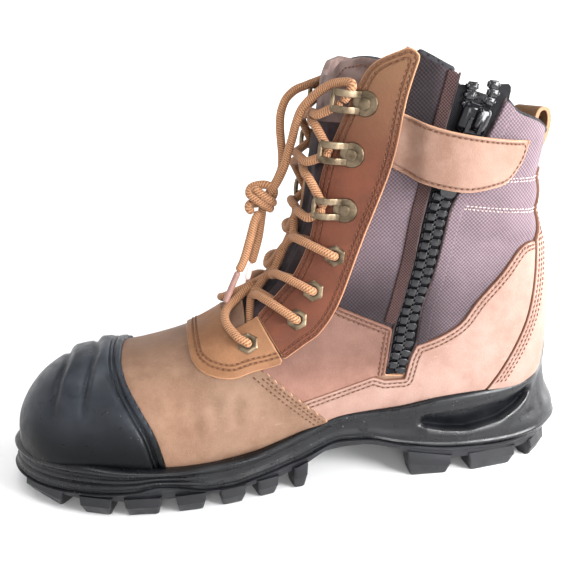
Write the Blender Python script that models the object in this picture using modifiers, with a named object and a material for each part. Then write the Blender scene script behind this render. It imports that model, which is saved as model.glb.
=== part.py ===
"""Zip-sided safety work boot for the right foot, modelled as separate pieces.

Sizes are millimetres in the last's own frame and become metres when a mesh is made:
x runs from the back of the heel to the toe, +y is the inner side with the zip, z is up from the floor.
"""
import math

import bmesh
import bpy
import numpy as np
from mathutils import Matrix, Vector

MM = 0.001

# Driving sizes
SOLE_TOE_X = 308.0
SOLE_HEEL_X = -5.0
BOOT_MIDDLE_X = 151.7
WALL = 2.2
GAP = 0.35
OVERLAY_IN = 0.4
OVERLAY_OUT = 1.7
GUARD_OUT = 3.0
INSOLE_THICK = 4.0
INSOLE_OFF_WALL = 0.9
INSOLE_HEEL_X = 8.0
INSOLE_TOE_X = 300.0
INSOLE_STEPS = 12
TONGUE_THICK = 3.4
LACE_D = 4.6
SIDE = {"inner": 1.0, "outer": -1.0}

# The last: each row is one section, fanned from upright at the toe to level at the collar.
# back_x, back_z: its point on the underside or heel; front_x, front_z: on the ridge or shin.
# middle_y: its centre; inner_w, outer_w: half widths; fullest: where it is widest, as a share
# of the way from back to front; back_n, front_n: squareness of its two halves.
LAST_COLUMNS = ("back_x", "back_z", "front_x", "front_z", "middle_y",
                "inner_w", "outer_w", "fullest", "back_n", "front_n")
LAST = (
    (301.2, 19.5, 301.4, 33.0, 5.0, 0.0, 0.0, 0.42, 3.6, 2.2),
    (299.0, 19.0, 299.6, 42.5, 5.0, 11.5, 11.5, 0.42, 3.6, 2.2),
    (293.8, 18.5, 294.6, 52.3, 4.8, 21.0, 20.5, 0.42, 3.6, 2.2),
    (285.4, 17.8, 286.2, 61.0, 4.2, 30.0, 29.5, 0.41, 3.7, 2.2),
    (272.0, 17.0, 272.0, 68.2, 3.0, 38.2, 38.0, 0.38, 3.8, 2.2),
    (252.0, 16.4, 252.0, 71.8, 1.6, 44.5, 43.5, 0.35, 3.9, 2.2),
    (230.0, 16.0, 231.0, 75.0, 0.6, 48.8, 48.0, 0.32, 4.0, 2.1),
    (205.0, 16.4, 211.0, 80.8, 0.0, 48.8, 49.5, 0.30, 4.0, 2.0),
    (178.0, 19.0, 195.0, 89.0, 0.0, 44.5, 47.5, 0.31, 3.8, 2.0),
    (148.0, 22.8, 181.0, 99.5, 0.0, 39.5, 42.5, 0.36, 3.5, 2.0),
    (116.0, 26.6, 168.0, 111.0, 0.0, 37.2, 39.2, 0.42, 3.4, 2.1),
    (82.0, 29.8, 158.5, 124.5, 0.0, 37.0, 38.0, 0.46, 3.4, 2.2),
    (48.0, 31.2, 152.5, 139.0, 0.0, 37.4, 37.6, 0.48, 3.4, 2.3),
    (22.0, 33.5, 149.5, 152.0, 0.0, 38.0, 38.0, 0.48, 3.0, 2.4),
    (8.5, 43.0, 148.0, 163.0, 0.0, 38.6, 38.6, 0.48, 2.6, 2.4),
    (4.6, 60.0, 146.5, 173.0, 0.0, 39.2, 39.2, 0.48, 2.5, 2.4),
    (5.0, 84.0, 144.0, 183.5, 0.0, 40.0, 40.0, 0.48, 2.5, 2.4),
    (7.8, 112.0, 141.5, 195.0, 0.0, 41.2, 41.2, 0.48, 2.4, 2.4),
    (12.6, 141.0, 139.5, 208.5, 0.0, 42.8, 42.8, 0.48, 2.4, 2.4),
    (15.2, 168.0, 137.0, 224.5, 0.0, 44.2, 44.2, 0.48, 2.4, 2.4),
    (14.6, 190.0, 133.5, 242.0, 0.0, 45.2, 45.2, 0.48, 2.4, 2.4),
    (13.5, 211.0, 129.5, 261.0, 0.0, 46.0, 46.0, 0.48, 2.4, 2.4),
)
COLLAR_ROW = 20.0
HEEL_ROW = 13.0
SKIVE_RISE = 6.0
SKIVE_LEAST = 0.1
TOE_STATIONS = (0.0, 0.5, 1.0, 1.75, 2.5, 3.25, 4.0)
SHAFT_STATIONS = 13
AROUND = 9

# The sole in plan: x, y of the inner edge, y of the outer edge
SOLE_PLAN = (
    (SOLE_HEEL_X, 0.0, 0.0),
    (-2.6, 11.5, -11.0),
    (4.0, 20.5, -19.5),
    (15.0, 29.5, -28.5),
    (31.0, 35.5, -34.5),
    (52.0, 38.8, -37.5),
    (76.0, 39.5, -38.5),
    (100.0, 38.8, -39.8),
    (125.0, 38.6, -42.0),
    (150.0, 40.8, -45.5),
    (170.0, 45.5, -49.5),
    (190.0, 50.8, -53.0),
    (210.0, 53.6, -54.4),
    (232.0, 54.4, -53.2),
    (252.0, 52.2, -49.6),
    (270.0, 46.2, -43.2),
    (285.0, 38.0, -33.4),
    (296.4, 28.2, -22.2),
    (304.6, 16.5, -9.5),
    (SOLE_TOE_X, 3.5, 3.5),
)
# Heights along the sole: x, z
SOLE_TOP = ((-5, 71), (4, 69), (9, 59), (16, 53), (25, 49.5), (47, 49), (73, 47), (100, 42.5), (128, 41),
            (149, 34), (164, 29), (179, 25.5), (212, 24.5), (248, 26), (268, 27.5), (290, 27), (309, 26.5))
PARTING = ((-5, 20), (12, 18), (31, 16), (67, 17), (95, 21), (116, 26), (130, 26.5), (154, 18), (179, 13),
           (192, 11.5), (204, 12), (217, 15), (229, 16.5), (241, 14.5), (263, 13), (293, 12), (309, 12.5))
PLATE_UNDER = ((-5, 11), (12, 9), (67, 9), (84, 11), (100, 18), (118, 21.5), (136, 20.5), (152, 12.5),
               (166, 9), (200, 8), (260, 8), (290, 8.5), (309, 10))
LUG_FOOT = ((-5, 2.2), (10, 0), (262, 0), (280, 1.5), (298, 4.5), (309, 7))
SEAT = ((-20, 36), (22, 35), (60, 33.5), (100, 30.5), (150, 25), (180, 21.5), (215, 18.8), (250, 18.8),
        (285, 20.5), (330, 23))
# How far the midsole's side leans in between its foot and its top: x, lean
MIDSOLE_LEAN = ((-5, 5.8), (10, 4.8), (30, 3.0), (75, 1.6), (130, 1.0), (200, 1.0), (309, 2.2))
# Side of the midsole from parting line to top: height share, plain bulge, heel recess share
MIDSOLE_SIDE = ((0.0, -0.6, 0.0), (0.16, 0.5, 0.0), (0.34, -0.6, 0.9), (0.6, -0.5, 0.9),
                (0.86, 0.6, 0.0), (1.0, -0.7, 0.0))
HEEL_RECESS = 2.6
RECESS_HEEL_X = 14.0
RECESS_LENGTH = 84.0
RECESS_FULLNESS = 0.6
RIM_INSET = 7.5
SOLE_BLOCK_RISE = 0.8

# Lugs along each edge: front x, rear x, depth in from the edge
EDGE_LUGS = ((298.0, 280.0, 13.0), (268.0, 254.0, 16.0), (245.0, 229.0, 18.0), (219.0, 206.0, 18.0),
             (196.0, 185.0, 16.0), (176.0, 167.0, 14.0), (156.0, 150.0, 12.0), (90.0, 68.0, 13.0),
             (54.0, 28.0, 14.0), (14.0, 3.0, 9.0))
# Lugs down the middle: front x, rear x, half width
MIDDLE_LUGS = ((306.0, 299.5, 5.0), (281.0, 270.0, 11.0), (256.0, 245.0, 19.0), (231.0, 219.0, 21.0),
               (207.0, 196.0, 21.0), (186.0, 176.0, 17.0), (80.0, 66.0, 12.0), (46.0, 33.0, 12.0))
LUG_TAPER = 1.2
LUG_ROOT = 2.0
LUG_INSET = 1.0
HEEL_LUG_INSET = 6.0
TOE_LUG_X = 260.0
TOE_LUG_SHIFT = 3.0
# Side of the outsole's plate from its underside to the parting line: height share, bulge, draw in at the heel
PLATE_SIDE = ((0.0, -1.0, 5.0), (0.35, 0.4, 2.2), (0.8, 0.8, 0.4), (1.0, 0.2, 0.0))
HEEL_END_X = 100.0
HEEL_DRAW_RUN = 30.0

# Edges seen from the side: x, z, from the lower or front end up or back
THROAT_EDGE = ((194, 97), (190, 90.5), (186, 87.5), (180, 90.5), (173, 95), (157, 112), (150, 123), (144, 139),
               (140, 164), (135, 183), (124, 213), (117, 225), (103, 232))
EYESTAY_REAR = ((161, 74.5), (150, 82), (141, 89), (131, 105), (119, 139), (107, 176), (102, 208), (97, 227))
APRON_FRONT = ((161, 73), (168, 71), (178, 69), (187, 66.5), (196, 67), (204, 69.5), (209, 74), (211, 82))
GUARD_REAR = ((227, 20), (228, 30), (231, 44), (235, 56), (239, 66), (242.5, 73), (240, 79), (234, 84))
LOWER_QUARTER = ((152, 51.5), (132, 57), (113, 63))
FABRIC_FRONT_FOOT = ((131, 102), (110, 93))
FABRIC_REAR_FOOT = ((90, 80), (86, 81), (76, 85), (66, 92), (58, 104), (46, 118), (35, 132), (22.6, 134))
BACKSTAY_FRONT = ((48, 44), (35, 64), (26, 79), (20, 93), (19, 113), (21, 134), (19, 150), (18, 172))
OUTER_COLLAR = ((60, 211), (84, 217.5), (104, 221.5), (122, 219), (150, 213))
OUTER_SEAM = ((97, 85.5), (109, 92), (110, 65))
ZIP_FRONT = ((106, 63), (103, 89), (99, 103), (94, 126), (91, 149), (88, 166), (83, 197), (78, 220))
ZIP_REAR = ((96, 62), (93, 73), (90, 80), (88, 102), (84, 114), (80, 134), (77, 153), (72, 167), (61, 192),
            (53, 210))
# How the cut-outs close beyond the boot, and the outlines hidden under other pieces
THROAT_AHEAD = ((99, 262), (170, 270), (215, 190), (205, 120))
ZIP_SLOT_TOP = ((76, 245), (48, 235))
ZIP_SLOT_FROM_Y = 20.0
TONGUE_FOOT = ((208, 78), (186, 74), (172, 80))
TONGUE_HEAD = ((112, 213), (108, 225), (124, 228), (133, 226), (140, 216))
TONGUE_AHEAD = ((170, 190), (185, 130), (215, 100))
TONGUE_TUCK = 13.0
TONGUE_OFF_WALL = 0.5
GUARD_AHEAD = ((240, 95), (318, 95))
GUARD_FOOT_XS = (318, 285, 248)
APRON_TOP = (172.6, 94)
COUNTER_FOOT_XS = (137, 122, 104, 86, 66, 47)
COUNTER_FRONT = (149, 49)
COUNTER_ZIP_FOOT = ((93, 73), (95.6, 60.5), (106.5, 60.5))
COUNTER_CLEAR_X = 0.5
QUARTER_REAR = (110.8, 65)
QUARTER_RISE = 0.9
QUARTER_FRONT = ((160, 59.5), (170, 69.6), (161, 72.4))
QUARTER_OFF_STAY = (0.7, 0.4)
BACKSTAY_BEHIND = ((-20, 172), (-20, 44))
SOLE_TUCK = 3.0
HALF_SPAN = 90.0
OVERLAY_FROM_Y = 4.0
FAR_ABOVE = 300.0
FAR_BELOW = -40.0
LINE_STEPS = 24

# Strap over the zip: top x, top z, foot x, foot z of each section from the eyestay to the free end
STRAP = ((102.3, 201.5, 106.0, 175.5), (94, 198, 97, 170.5), (84, 195, 85, 167), (73, 192.7, 72, 165),
         (63, 191, 60, 166), (51, 189.3, 50, 168.5), (39.5, 188, 42.5, 178))
STRAP_THICK = 1.8
STRAP_CROWN_X = 76.0
STRAP_CROWN_HALF = 35.0
STRAP_CROWN = 9.0
STRAP_CROWN_POWER = 1.3
STRAP_ACROSS = (0.0, 0.33, 0.67, 1.0)

# Zip: heights of the chain and tapes, and the slider's place
ZIP_FOOT_Z = 66.0
ZIP_CHAIN_TOP_Z = 188.0
ZIP_TOP_Z = 212.0
ZIP_TEETH = 18
ZIP_CHAIN_HALF = 4.4
ZIP_CHAIN_HIGH = 1.3
ZIP_CHAIN_LOW = 0.5
ZIP_TOOTH_HALF = 2.2
TAPE_OUT = -0.5
TAPE_IN = -1.7
TAPE_FOOT = 2.0
TAPE_STATIONS = 8
TAPE_SHOULDER = 5.0
TAPE_INSET = 1.3
TAPE_SPLIT = 0.2
TAPE_OPEN_WIDTH = 6.0
TEETH_OFF_TAPE = 0.3
TEETH_FROM_MIDDLE = 3.4
TEETH_FROM_EDGE = 4.5
TEETH_ABOVE_SLIDER = 9.0
TEETH_PAST_TAPE = 2.0
SLIDER_X = 69.5
SLIDER_Z = 198.5
SLIDER_SIZE = (13.0, 14.0, 3.6)
SLIDER_ROOT = -0.1
SLIDER_SIGHT = 20.0
# The slider's bridge seen from the side: y along the zip, z out from the slider's foot
BRIDGE = ((-4.4, 3.1), (-4.4, 7.0), (6.4, 7.0), (6.4, 3.1), (3.8, 3.1), (3.8, 5.6), (-1.8, 5.6), (-1.8, 3.1))
BRIDGE_HALF = 1.6
PULL_LENGTH = 40.0
PULL_HALF = 4.2
PULL_THICK = 1.0
PULL_PIN = (0.0, 0.9, 4.6)
PULL_HOLE_HALF = 2.2
PULL_HOLE_LENGTH = 6.5

# Eyelets on each side: x, z; hooks: x, z, how much deeper the rivet is seated
EYELETS = ((179, 82), (153, 95), (144, 110), (133, 129))
HOOKS = ((128, 153, 0.0), (125, 181, 0.0), (120, 206, 0.5))
EYELET_R = 6.0
EYELET_HOLE_R = 3.0
EYELET_THICK = 1.0
EYELET_SIDES = 6
HOOK_R = 6.4
HOOK_THICK = 1.5
HOOK_REACH = 15.0
HOOK_PRONG_HALF = 1.3
HOOK_PRONG_AT = 3.4
HOOK_LIFT = 4.6
HOOK_SIDES = 8
HOOK_LEAN = (1.0, 0.0, 0.1)
# A hook's prong seen from the side: reach ahead of the rivet, height off the disc's foot
PRONG = ((3.0, 0.3), (HOOK_REACH, HOOK_LIFT), (HOOK_REACH, HOOK_LIFT + 1.4), (3.0, 2.3))

# Lace: how far its runs lie off the last at the eyelets and over the tongue
LACE_OUT_EDGE = 7.6
LACE_OUT_MIDDLE = 0.6
LACE_SHARES = (0.0, 0.24, 0.5, 0.76, 1.0)
LACE_DROP = 0.3
LACE_OVER = 0.5
LACE_APART = 3.5
LACE_ASLANT = 1.8
HOOK_LACE_AHEAD = 9.0
# Where the lace passes a hook: x past HOOK_LACE_AHEAD, z from the rivet
HOOK_LACE_LOWER = (1.6, -7.5)
HOOK_LACE_UPPER = (-2.5, 8.3)
KNOT_LEAD = 5.0
KNOT = (167.5, 0.0, 153.5)
KNOT_R = 8.5
LOOP_NEAR = ((127.3, 34.6, 214.8), (133, 28, 215.5), (138.2, 22.5, 213), (143.6, 18.5, 208.4),
             (148.8, 15.5, 202), (151.2, 11.8, 194.3), (152.6, 9, 187), (154.4, 6.5, 179.6), (156.5, 4.5, 171))
LOOP_FAR = ((127, -34.6, 214.8), (134.3, -24, 214), (141.8, -17, 212), (147.6, -14, 210), (152.8, -12, 205.5),
            (155.8, -10, 198.8), (156.6, -8.5, 191.7), (156.3, -7.5, 184.3), (155.8, -6.5, 176.4),
            (156.4, -5.5, 169))
END_NEAR = ((172.6, 5.5, 142.5), (175.2, 7.5, 134.3), (179, 10, 122.9), (182.5, 12, 116.9))
END_FAR = ((168.2, -1.5, 142), (170, 0.5, 132.8), (173.3, 2, 121.7), (174.4, 2.5, 118.7))
TIP_NEAR = (190.1, 15, 100.8)
TIP_FAR = (177.2, 3.5, 109.6)
TIP_R = 1.7

# Pull loop at the back of the collar: x, z of the strip's middle line
PULL_LOOP = ((12.0, 166), (12.0, 176), (11.8, 189), (13.8, 197.6), (19.3, 200.2), (24.4, 196.2), (25.3, 187),
             (25.3, 178))
PULL_LOOP_HALF = 11.0
PULL_LOOP_THICK = 2.0


def through(rows, t):
    """A point on the smooth curve that passes through a table's rows; t counts rows."""
    rows = np.asarray(rows, float)
    last = len(rows) - 1
    i = int(min(max(math.floor(t), 0), last - 1))
    f = t - i
    b, c = rows[i], rows[i + 1]
    a = rows[i - 1] if i > 0 else 2 * b - c
    d = rows[i + 2] if i + 2 <= last else 2 * c - b
    bend = (2 * a - 5 * b + 4 * c - d) * f * f + (3 * b - a - 3 * c + d) * f ** 3
    return 0.5 * (2 * b + (c - a) * f + bend)


def curve_through(rows, per_span=2):
    """The smooth curve through a table's rows, as a list of points."""
    count = (len(rows) - 1) * per_span
    return [through(rows, i / per_span) for i in range(count + 1)]


def height_at(table, x):
    """A smooth height along the boot, from a table of x and height."""
    xs, zs = np.asarray(table, float).T
    x = min(max(x, xs[0]), xs[-1])
    steps = np.diff(zs) / np.diff(xs)
    before, after = steps[:-1], steps[1:]
    level = before * after <= 0
    slope = np.where(level, 0.0, 2 * before * after / np.where(level, 1.0, before + after))
    slope = np.concatenate([steps[:1], slope, steps[-1:]])
    i = int(min(np.searchsorted(xs, x, side="right") - 1, len(xs) - 2))
    h = xs[i + 1] - xs[i]
    f = (x - xs[i]) / h
    rise = slope[i] * h * f * (1 - f) ** 2 - slope[i + 1] * h * f * f * (1 - f)
    return zs[i] * (1 + 2 * f) * (1 - f) ** 2 + zs[i + 1] * f * f * (3 - 2 * f) + rise


def section(t):
    """The last's section at row t, by column name; the row before the first mirrors the second."""
    mirrored = [-v if name in ("inner_w", "outer_w") else v for name, v in zip(LAST_COLUMNS, LAST[1])]
    return dict(zip(LAST_COLUMNS, through((mirrored,) + LAST, t + 1)))


def last_point(t, turn, side):
    """A point of the last: turn goes from 0 at the back or underside to pi at the front."""
    s = section(t)
    width = max(s["inner_w"] if side > 0 else s["outer_w"], 0.0)
    if turn <= math.pi / 2:
        power = 2 / s["back_n"]
        share = s["fullest"] * (1 - max(math.cos(turn), 0.0) ** power)
        half = width * max(math.sin(turn), 0.0) ** power
    else:
        power = 2 / s["front_n"]
        up = turn - math.pi / 2
        share = s["fullest"] + (1 - s["fullest"]) * max(math.sin(up), 0.0) ** power
        half = width * max(math.cos(up), 0.0) ** power
    x = s["back_x"] + share * (s["front_x"] - s["back_x"])
    z = s["back_z"] + share * (s["front_z"] - s["back_z"])
    return (x, s["middle_y"] + side * half, z)


def side_place(x, z):
    """The last's row, and the share of the way to the front, of a point in the side view."""
    def off_line(t):
        s = section(t)
        dx, dz = s["front_x"] - s["back_x"], s["front_z"] - s["back_z"]
        return (x - s["back_x"]) * dz - (z - s["back_z"]) * dx
    low, high = 0.5, len(LAST) - 1.0
    for _ in range(40):
        middle = (low + high) / 2
        if off_line(middle) < 0:
            low = middle
        else:
            high = middle
    s = section(low)
    dx, dz = s["front_x"] - s["back_x"], s["front_z"] - s["back_z"]
    return low, ((x - s["back_x"]) * dx + (z - s["back_z"]) * dz) / (dx * dx + dz * dz)


def side_y(x, z, side):
    """How far out the last's surface lies at x, z in the side view."""
    t, share = side_place(x, z)
    s = section(t)
    width = s["inner_w"] if side > 0 else s["outer_w"]
    if share < s["fullest"]:
        reach, power = (s["fullest"] - share) / s["fullest"], s["back_n"]
    else:
        reach, power = (share - s["fullest"]) / (1 - s["fullest"]), s["front_n"]
    return s["middle_y"] + side * width * max(1 - min(reach, 1.0) ** power, 0.0) ** (1 / power)


def side_frame(x, z, side):
    """The point on the last's side at x, z and the outward normal there."""
    step = 1.0
    slope_x = (side_y(x + step, z, side) - side_y(x - step, z, side)) / (2 * step)
    slope_z = (side_y(x, z + step, side) - side_y(x, z - step, side)) / (2 * step)
    normal = Vector((-slope_x, 1.0, -slope_z)).normalized() * side
    return Vector((x, side_y(x, z, side), z)), normal


def on_side(x, z, out, side):
    """The point that stands out from the last's side at x, z."""
    point, normal = side_frame(x, z, side)
    return point + normal * out


def turn_at(x, z):
    """The last's row and turn of a point in the front half of the side view."""
    t, share = side_place(x, z)
    s = section(t)
    reach = (share - s["fullest"]) / (1 - s["fullest"])
    return t, math.pi / 2 + math.asin(min(max(reach, 0.0), 1.0) ** (s["front_n"] / 2))


def around_front(t, spread, out):
    """A point off the last's front: spread is 0 on the ridge, positive to the inner side."""
    step = 0.02

    def at(row, angle):
        return Vector(last_point(row, math.pi - abs(angle), 1.0 if angle >= 0 else -1.0))
    along = at(t + step, spread) - at(t - step, spread)
    across = at(t, spread + step) - at(t, spread - step)
    return at(t, spread) + across.cross(along).normalized() * out


# Scene, materials and helpers that make objects
def start_scene():
    for obj in list(bpy.data.objects):
        bpy.data.objects.remove(obj, do_unlink=True)
    made = []
    for name in ("work_boot", "cutters"):
        collection = bpy.data.collections.new(name)
        bpy.context.scene.collection.children.link(collection)
        made.append(collection)
    frame = bpy.data.objects.new("boot_frame", None)
    frame.location = (-BOOT_MIDDLE_X * MM, 0.0, 0.0)
    made[0].objects.link(frame)
    return made[0], made[1], frame


PARTS, CUTTERS, BOOT_FRAME = start_scene()


def material(name, color, roughness, metallic=0.0):
    finish = bpy.data.materials.new(name)
    finish.use_nodes = True
    shader = finish.node_tree.nodes["Principled BSDF"]
    shader.inputs["Base Color"].default_value = (*color, 1.0)
    shader.inputs["Roughness"].default_value = roughness
    shader.inputs["Metallic"].default_value = metallic
    return finish


TAN = material("tan_leather", (0.42, 0.22, 0.12), 0.75)
BROWN = material("brown_leather", (0.27, 0.12, 0.08), 0.75)
CLOTH = material("dark_cloth", (0.05, 0.035, 0.035), 0.9)
RUBBER = material("black_rubber", (0.015, 0.015, 0.018), 0.55)
FOAM = material("black_foam", (0.03, 0.03, 0.03), 0.9)
PLASTIC = material("black_plastic", (0.01, 0.01, 0.012), 0.3)
BRASS = material("old_brass", (0.36, 0.3, 0.2), 0.4, 0.9)
LACE = material("tan_lace", (0.5, 0.26, 0.1), 0.8)
TIP = material("lace_tip", (0.35, 0.22, 0.18), 0.35)


def add_mesh(name, points, faces, finish):
    """An object whose points are given in millimetres in the last's frame."""
    mesh = bpy.data.meshes.new(name)
    mesh.from_pydata([tuple(c * MM for c in p) for p in points], [], faces)
    grown = bmesh.new()
    grown.from_mesh(mesh)
    bmesh.ops.remove_doubles(grown, verts=grown.verts, dist=0.001 * MM)
    bmesh.ops.recalc_face_normals(grown, faces=grown.faces)
    if grown.calc_volume(signed=True) < 0:
        bmesh.ops.reverse_faces(grown, faces=grown.faces)
    grown.to_mesh(mesh)
    grown.free()
    return add_object(name, mesh, finish)


def add_object(name, data, finish):
    obj = bpy.data.objects.new(name, data)
    obj.parent = BOOT_FRAME
    if finish is None:
        CUTTERS.objects.link(obj)
        obj.hide_render = True
        obj.display_type = "WIRE"
    else:
        PARTS.objects.link(obj)
        obj.data.materials.append(finish)
    return obj


def boolean(obj, cutter, operation):
    modifier = obj.modifiers.new(operation.lower() + "_" + cutter.name, "BOOLEAN")
    modifier.object = cutter
    modifier.operation = operation
    modifier.solver = "EXACT"


def side_prism(name, outline, y_from, y_to, finish=None):
    """A prism across the boot whose outline is drawn in the side view."""
    count = len(outline)
    points = [(p[0], y, p[1]) for y in (y_from, y_to) for p in outline]
    faces = [tuple(range(count)), tuple(range(2 * count - 1, count - 1, -1))]
    faces += [(i, (i + 1) % count, (i + 1) % count + count, i + count) for i in range(count)]
    return add_mesh(name, points, faces, finish)


def slab(name, under, over, finish):
    """A closed sheet between two grids of points."""
    rows, cols = len(under), len(under[0])
    points = [p for grid in (under, over) for row in grid for p in row]

    def at(level, i, j):
        return (level * rows + i) * cols + j
    faces = []
    for i in range(rows - 1):
        for j in range(cols - 1):
            for level in (0, 1):
                near, far = (at(level, i, j), at(level, i + 1, j)), (at(level, i + 1, j + 1), at(level, i, j + 1))
                faces.append(near + far)
    for i in range(rows - 1):
        for j in (0, cols - 1):
            faces.append((at(0, i, j), at(0, i + 1, j), at(1, i + 1, j), at(1, i, j)))
    for j in range(cols - 1):
        for i in (0, rows - 1):
            faces.append((at(0, i, j), at(0, i, j + 1), at(1, i, j + 1), at(1, i, j)))
    return add_mesh(name, points, faces, finish)


# The last as a lattice of points: rings run from the back up the inner side to the front and down the outer
RING = 2 * AROUND
SHAFT_ROWS = np.linspace(TOE_STATIONS[-1], COLLAR_ROW, SHAFT_STATIONS + 1)[1:]
STATIONS = list(TOE_STATIONS) + list(SHAFT_ROWS) + [len(LAST) - 1.0]
COLLAR_RING = len(STATIONS) - 2
TONGUE_RING = len(TOE_STATIONS) + 1


def ring_index(row, k):
    """A lattice point's number; the two sides meet on the toe's first ring."""
    k = k % RING
    if row == 0:
        return min(k, RING - k)
    return AROUND + 1 + (row - 1) * RING + k


def last_lattice():
    """The lattice's points, outward normals and share of the wall's thickness, thin under the foot."""
    points = np.zeros((AROUND + 1 + (len(STATIONS) - 1) * RING, 3))
    thick = np.ones(len(points))
    for row, t in enumerate(STATIONS):
        for k in range(RING):
            side = 1.0 if k <= AROUND else -1.0
            turn = math.pi * min(k, RING - k) / AROUND
            point = last_point(t, turn, side)
            points[ring_index(row, k)] = point
            if t < HEEL_ROW:
                rise = (point[2] - section(t)["back_z"]) / SKIVE_RISE
                thick[ring_index(row, k)] = min(SKIVE_LEAST + rise, 1.0)
    normals = np.zeros_like(points)
    for face in ring_faces(0, len(STATIONS) - 1):
        a, b, c = points[list(face)]
        normals[list(face)] += np.cross(b - a, c - a)
    return points, normals / np.linalg.norm(normals, axis=1)[:, None], thick


def ring_faces(first, final):
    """Triangles between rings, always on the same diagonal, so that grown lasts stay parallel."""
    faces = []
    for row in range(first, final):
        for k in range(RING):
            a, b = ring_index(row, k), ring_index(row + 1, k)
            c, d = ring_index(row + 1, k + 1), ring_index(row, k + 1)
            faces += [(a, b, c), (a, c, d)]
    return faces


LATTICE, NORMALS, THICK = last_lattice()
FORMS = {}


def grown(out):
    """The lattice's points moved out, or in by a negative amount."""
    share = THICK if out < 0 else np.ones(len(THICK))
    return LATTICE + NORMALS * (out * share)[:, None]


def closed_last(name, out, first=0):
    """The last from a given ring up, grown by out and closed at both ends, as a cutter."""
    top = len(STATIONS) - 1
    faces = ring_faces(first, top) + [tuple(ring_index(top, k) for k in range(RING))]
    if first:
        faces.append(tuple(ring_index(first, k) for k in range(RING)))
    used = sorted({i for face in faces for i in face})
    order = {old: new for new, old in enumerate(used)}
    return add_mesh(name, grown(out)[used], [tuple(order[i] for i in face) for face in faces], None)


def form(out, first=0):
    """A closed last that several pieces are cut with."""
    if out not in FORMS:
        FORMS[out] = closed_last("last_%+.2f" % out, out, first)
    return FORMS[out]


def line_along(table, xs, rise):
    return [(x, height_at(table, x) + rise) for x in xs]


def below_line(name, table, rise):
    """Everything under a height line, as a cutter."""
    xs = np.linspace(table[0][0], table[-1][0], LINE_STEPS)
    outline = line_along(table, xs, rise) + [(xs[-1], FAR_BELOW), (xs[0], FAR_BELOW)]
    return side_prism(name, outline, -HALF_SPAN, HALF_SPAN)


# Upper, tongue and insole
def make_upper():
    """The hollow upper, open at the collar, the throat, the zip and underneath."""
    shift = len(LATTICE)
    outside = ring_faces(0, COLLAR_RING)
    inside = [tuple(i + shift for i in reversed(face)) for face in outside]
    rim = []
    for k in range(RING):
        a, b = ring_index(COLLAR_RING, k), ring_index(COLLAR_RING, k + 1)
        rim.append((a, a + shift, b + shift, b))
    points = np.vstack([LATTICE, grown(-WALL)])
    used = sorted({i for face in outside + inside for i in face})
    order = {old: new for new, old in enumerate(used)}
    faces = [tuple(order[i] for i in face) for face in outside + inside + rim]
    upper = add_mesh("upper", points[used], faces, TAN)
    boolean(upper, below_line("seat_clearance", SEAT, GAP), "DIFFERENCE")
    throat = curve_through(THROAT_EDGE) + list(THROAT_AHEAD)
    boolean(upper, side_prism("throat", throat, -HALF_SPAN, HALF_SPAN), "DIFFERENCE")
    collar = list(OUTER_COLLAR) + [(OUTER_COLLAR[-1][0], FAR_ABOVE), (OUTER_COLLAR[0][0], FAR_ABOVE)]
    boolean(upper, side_prism("outer_collar", collar, -HALF_SPAN, -OVERLAY_FROM_Y), "DIFFERENCE")
    slot = curve_through(ZIP_FRONT) + list(ZIP_SLOT_TOP) + curve_through(ZIP_REAR)[::-1]
    boolean(upper, side_prism("zip_slot", slot, ZIP_SLOT_FROM_Y, HALF_SPAN), "DIFFERENCE")


def make_tongue():
    """The gusseted tongue, lying behind the throat and tucked under the eyestays."""
    rear = tuple((x - TONGUE_TUCK, z) for x, z in THROAT_EDGE[4:10])
    outline = TONGUE_FOOT + rear + TONGUE_HEAD + TONGUE_AHEAD
    tongue = side_prism("tongue", outline, -HALF_SPAN, HALF_SPAN, CLOTH)
    boolean(tongue, form(-WALL - TONGUE_OFF_WALL, TONGUE_RING), "INTERSECT")
    boolean(tongue, form(-WALL - TONGUE_OFF_WALL - TONGUE_THICK, TONGUE_RING), "DIFFERENCE")


def make_insole():
    xs = np.linspace(INSOLE_HEEL_X, INSOLE_TOE_X, INSOLE_STEPS)
    top = line_along(SEAT, xs, GAP + INSOLE_THICK)
    under = line_along(SEAT, xs, GAP)
    insole = side_prism("insole", top + under[::-1], -HALF_SPAN, HALF_SPAN, FOAM)
    boolean(insole, form(-WALL - INSOLE_OFF_WALL), "INTERSECT")


# Sole
def sole_loop():
    """The sole's outline, from the heel along the inner edge to the toe and back along the outer."""
    inner = [(x, y) for x, y, _ in SOLE_PLAN]
    outer = [(x, y) for x, _, y in SOLE_PLAN[-2:0:-1]]
    return np.array(inner + outer)


SOLE_LOOP = sole_loop()
SOLE_TIP = len(SOLE_LOOP) // 2


def sole_ring(grow):
    """The sole's outline, moved out by grow at each station."""
    tangent = np.roll(SOLE_LOOP, -1, axis=0) - np.roll(SOLE_LOOP, 1, axis=0)
    normal = np.stack([-tangent[:, 1], tangent[:, 0]], axis=1)
    normal /= np.linalg.norm(normal, axis=1)[:, None]
    return SOLE_LOOP + normal * np.array([grow(x) for x, _ in SOLE_LOOP])[:, None]


def stacked_rings(rings):
    """Faces of a stack of sole rings, with the top and bottom closed from edge to edge."""
    count = len(rings[0])
    points = [tuple(p) for ring in rings for p in ring]
    faces = []
    for level in range(len(rings) - 1):
        for i in range(count):
            j = (i + 1) % count
            low, high = level * count, (level + 1) * count
            faces.append((low + i, low + j, high + j, high + i))
    for base in (0, (len(rings) - 1) * count):
        for i in range(SOLE_TIP):
            pair = (base + i, base + i + 1, base + (count - i - 1) % count, base + (count - i) % count)
            faces.append(tuple(dict.fromkeys(pair)))
    return points, faces


def recess_share(x):
    """How much of the heel's side recess there is along the boot."""
    along = min(max((x - RECESS_HEEL_X) / RECESS_LENGTH, 0.0), 1.0)
    return max(math.sin(math.pi * along), 0.0) ** RECESS_FULLNESS


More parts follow.
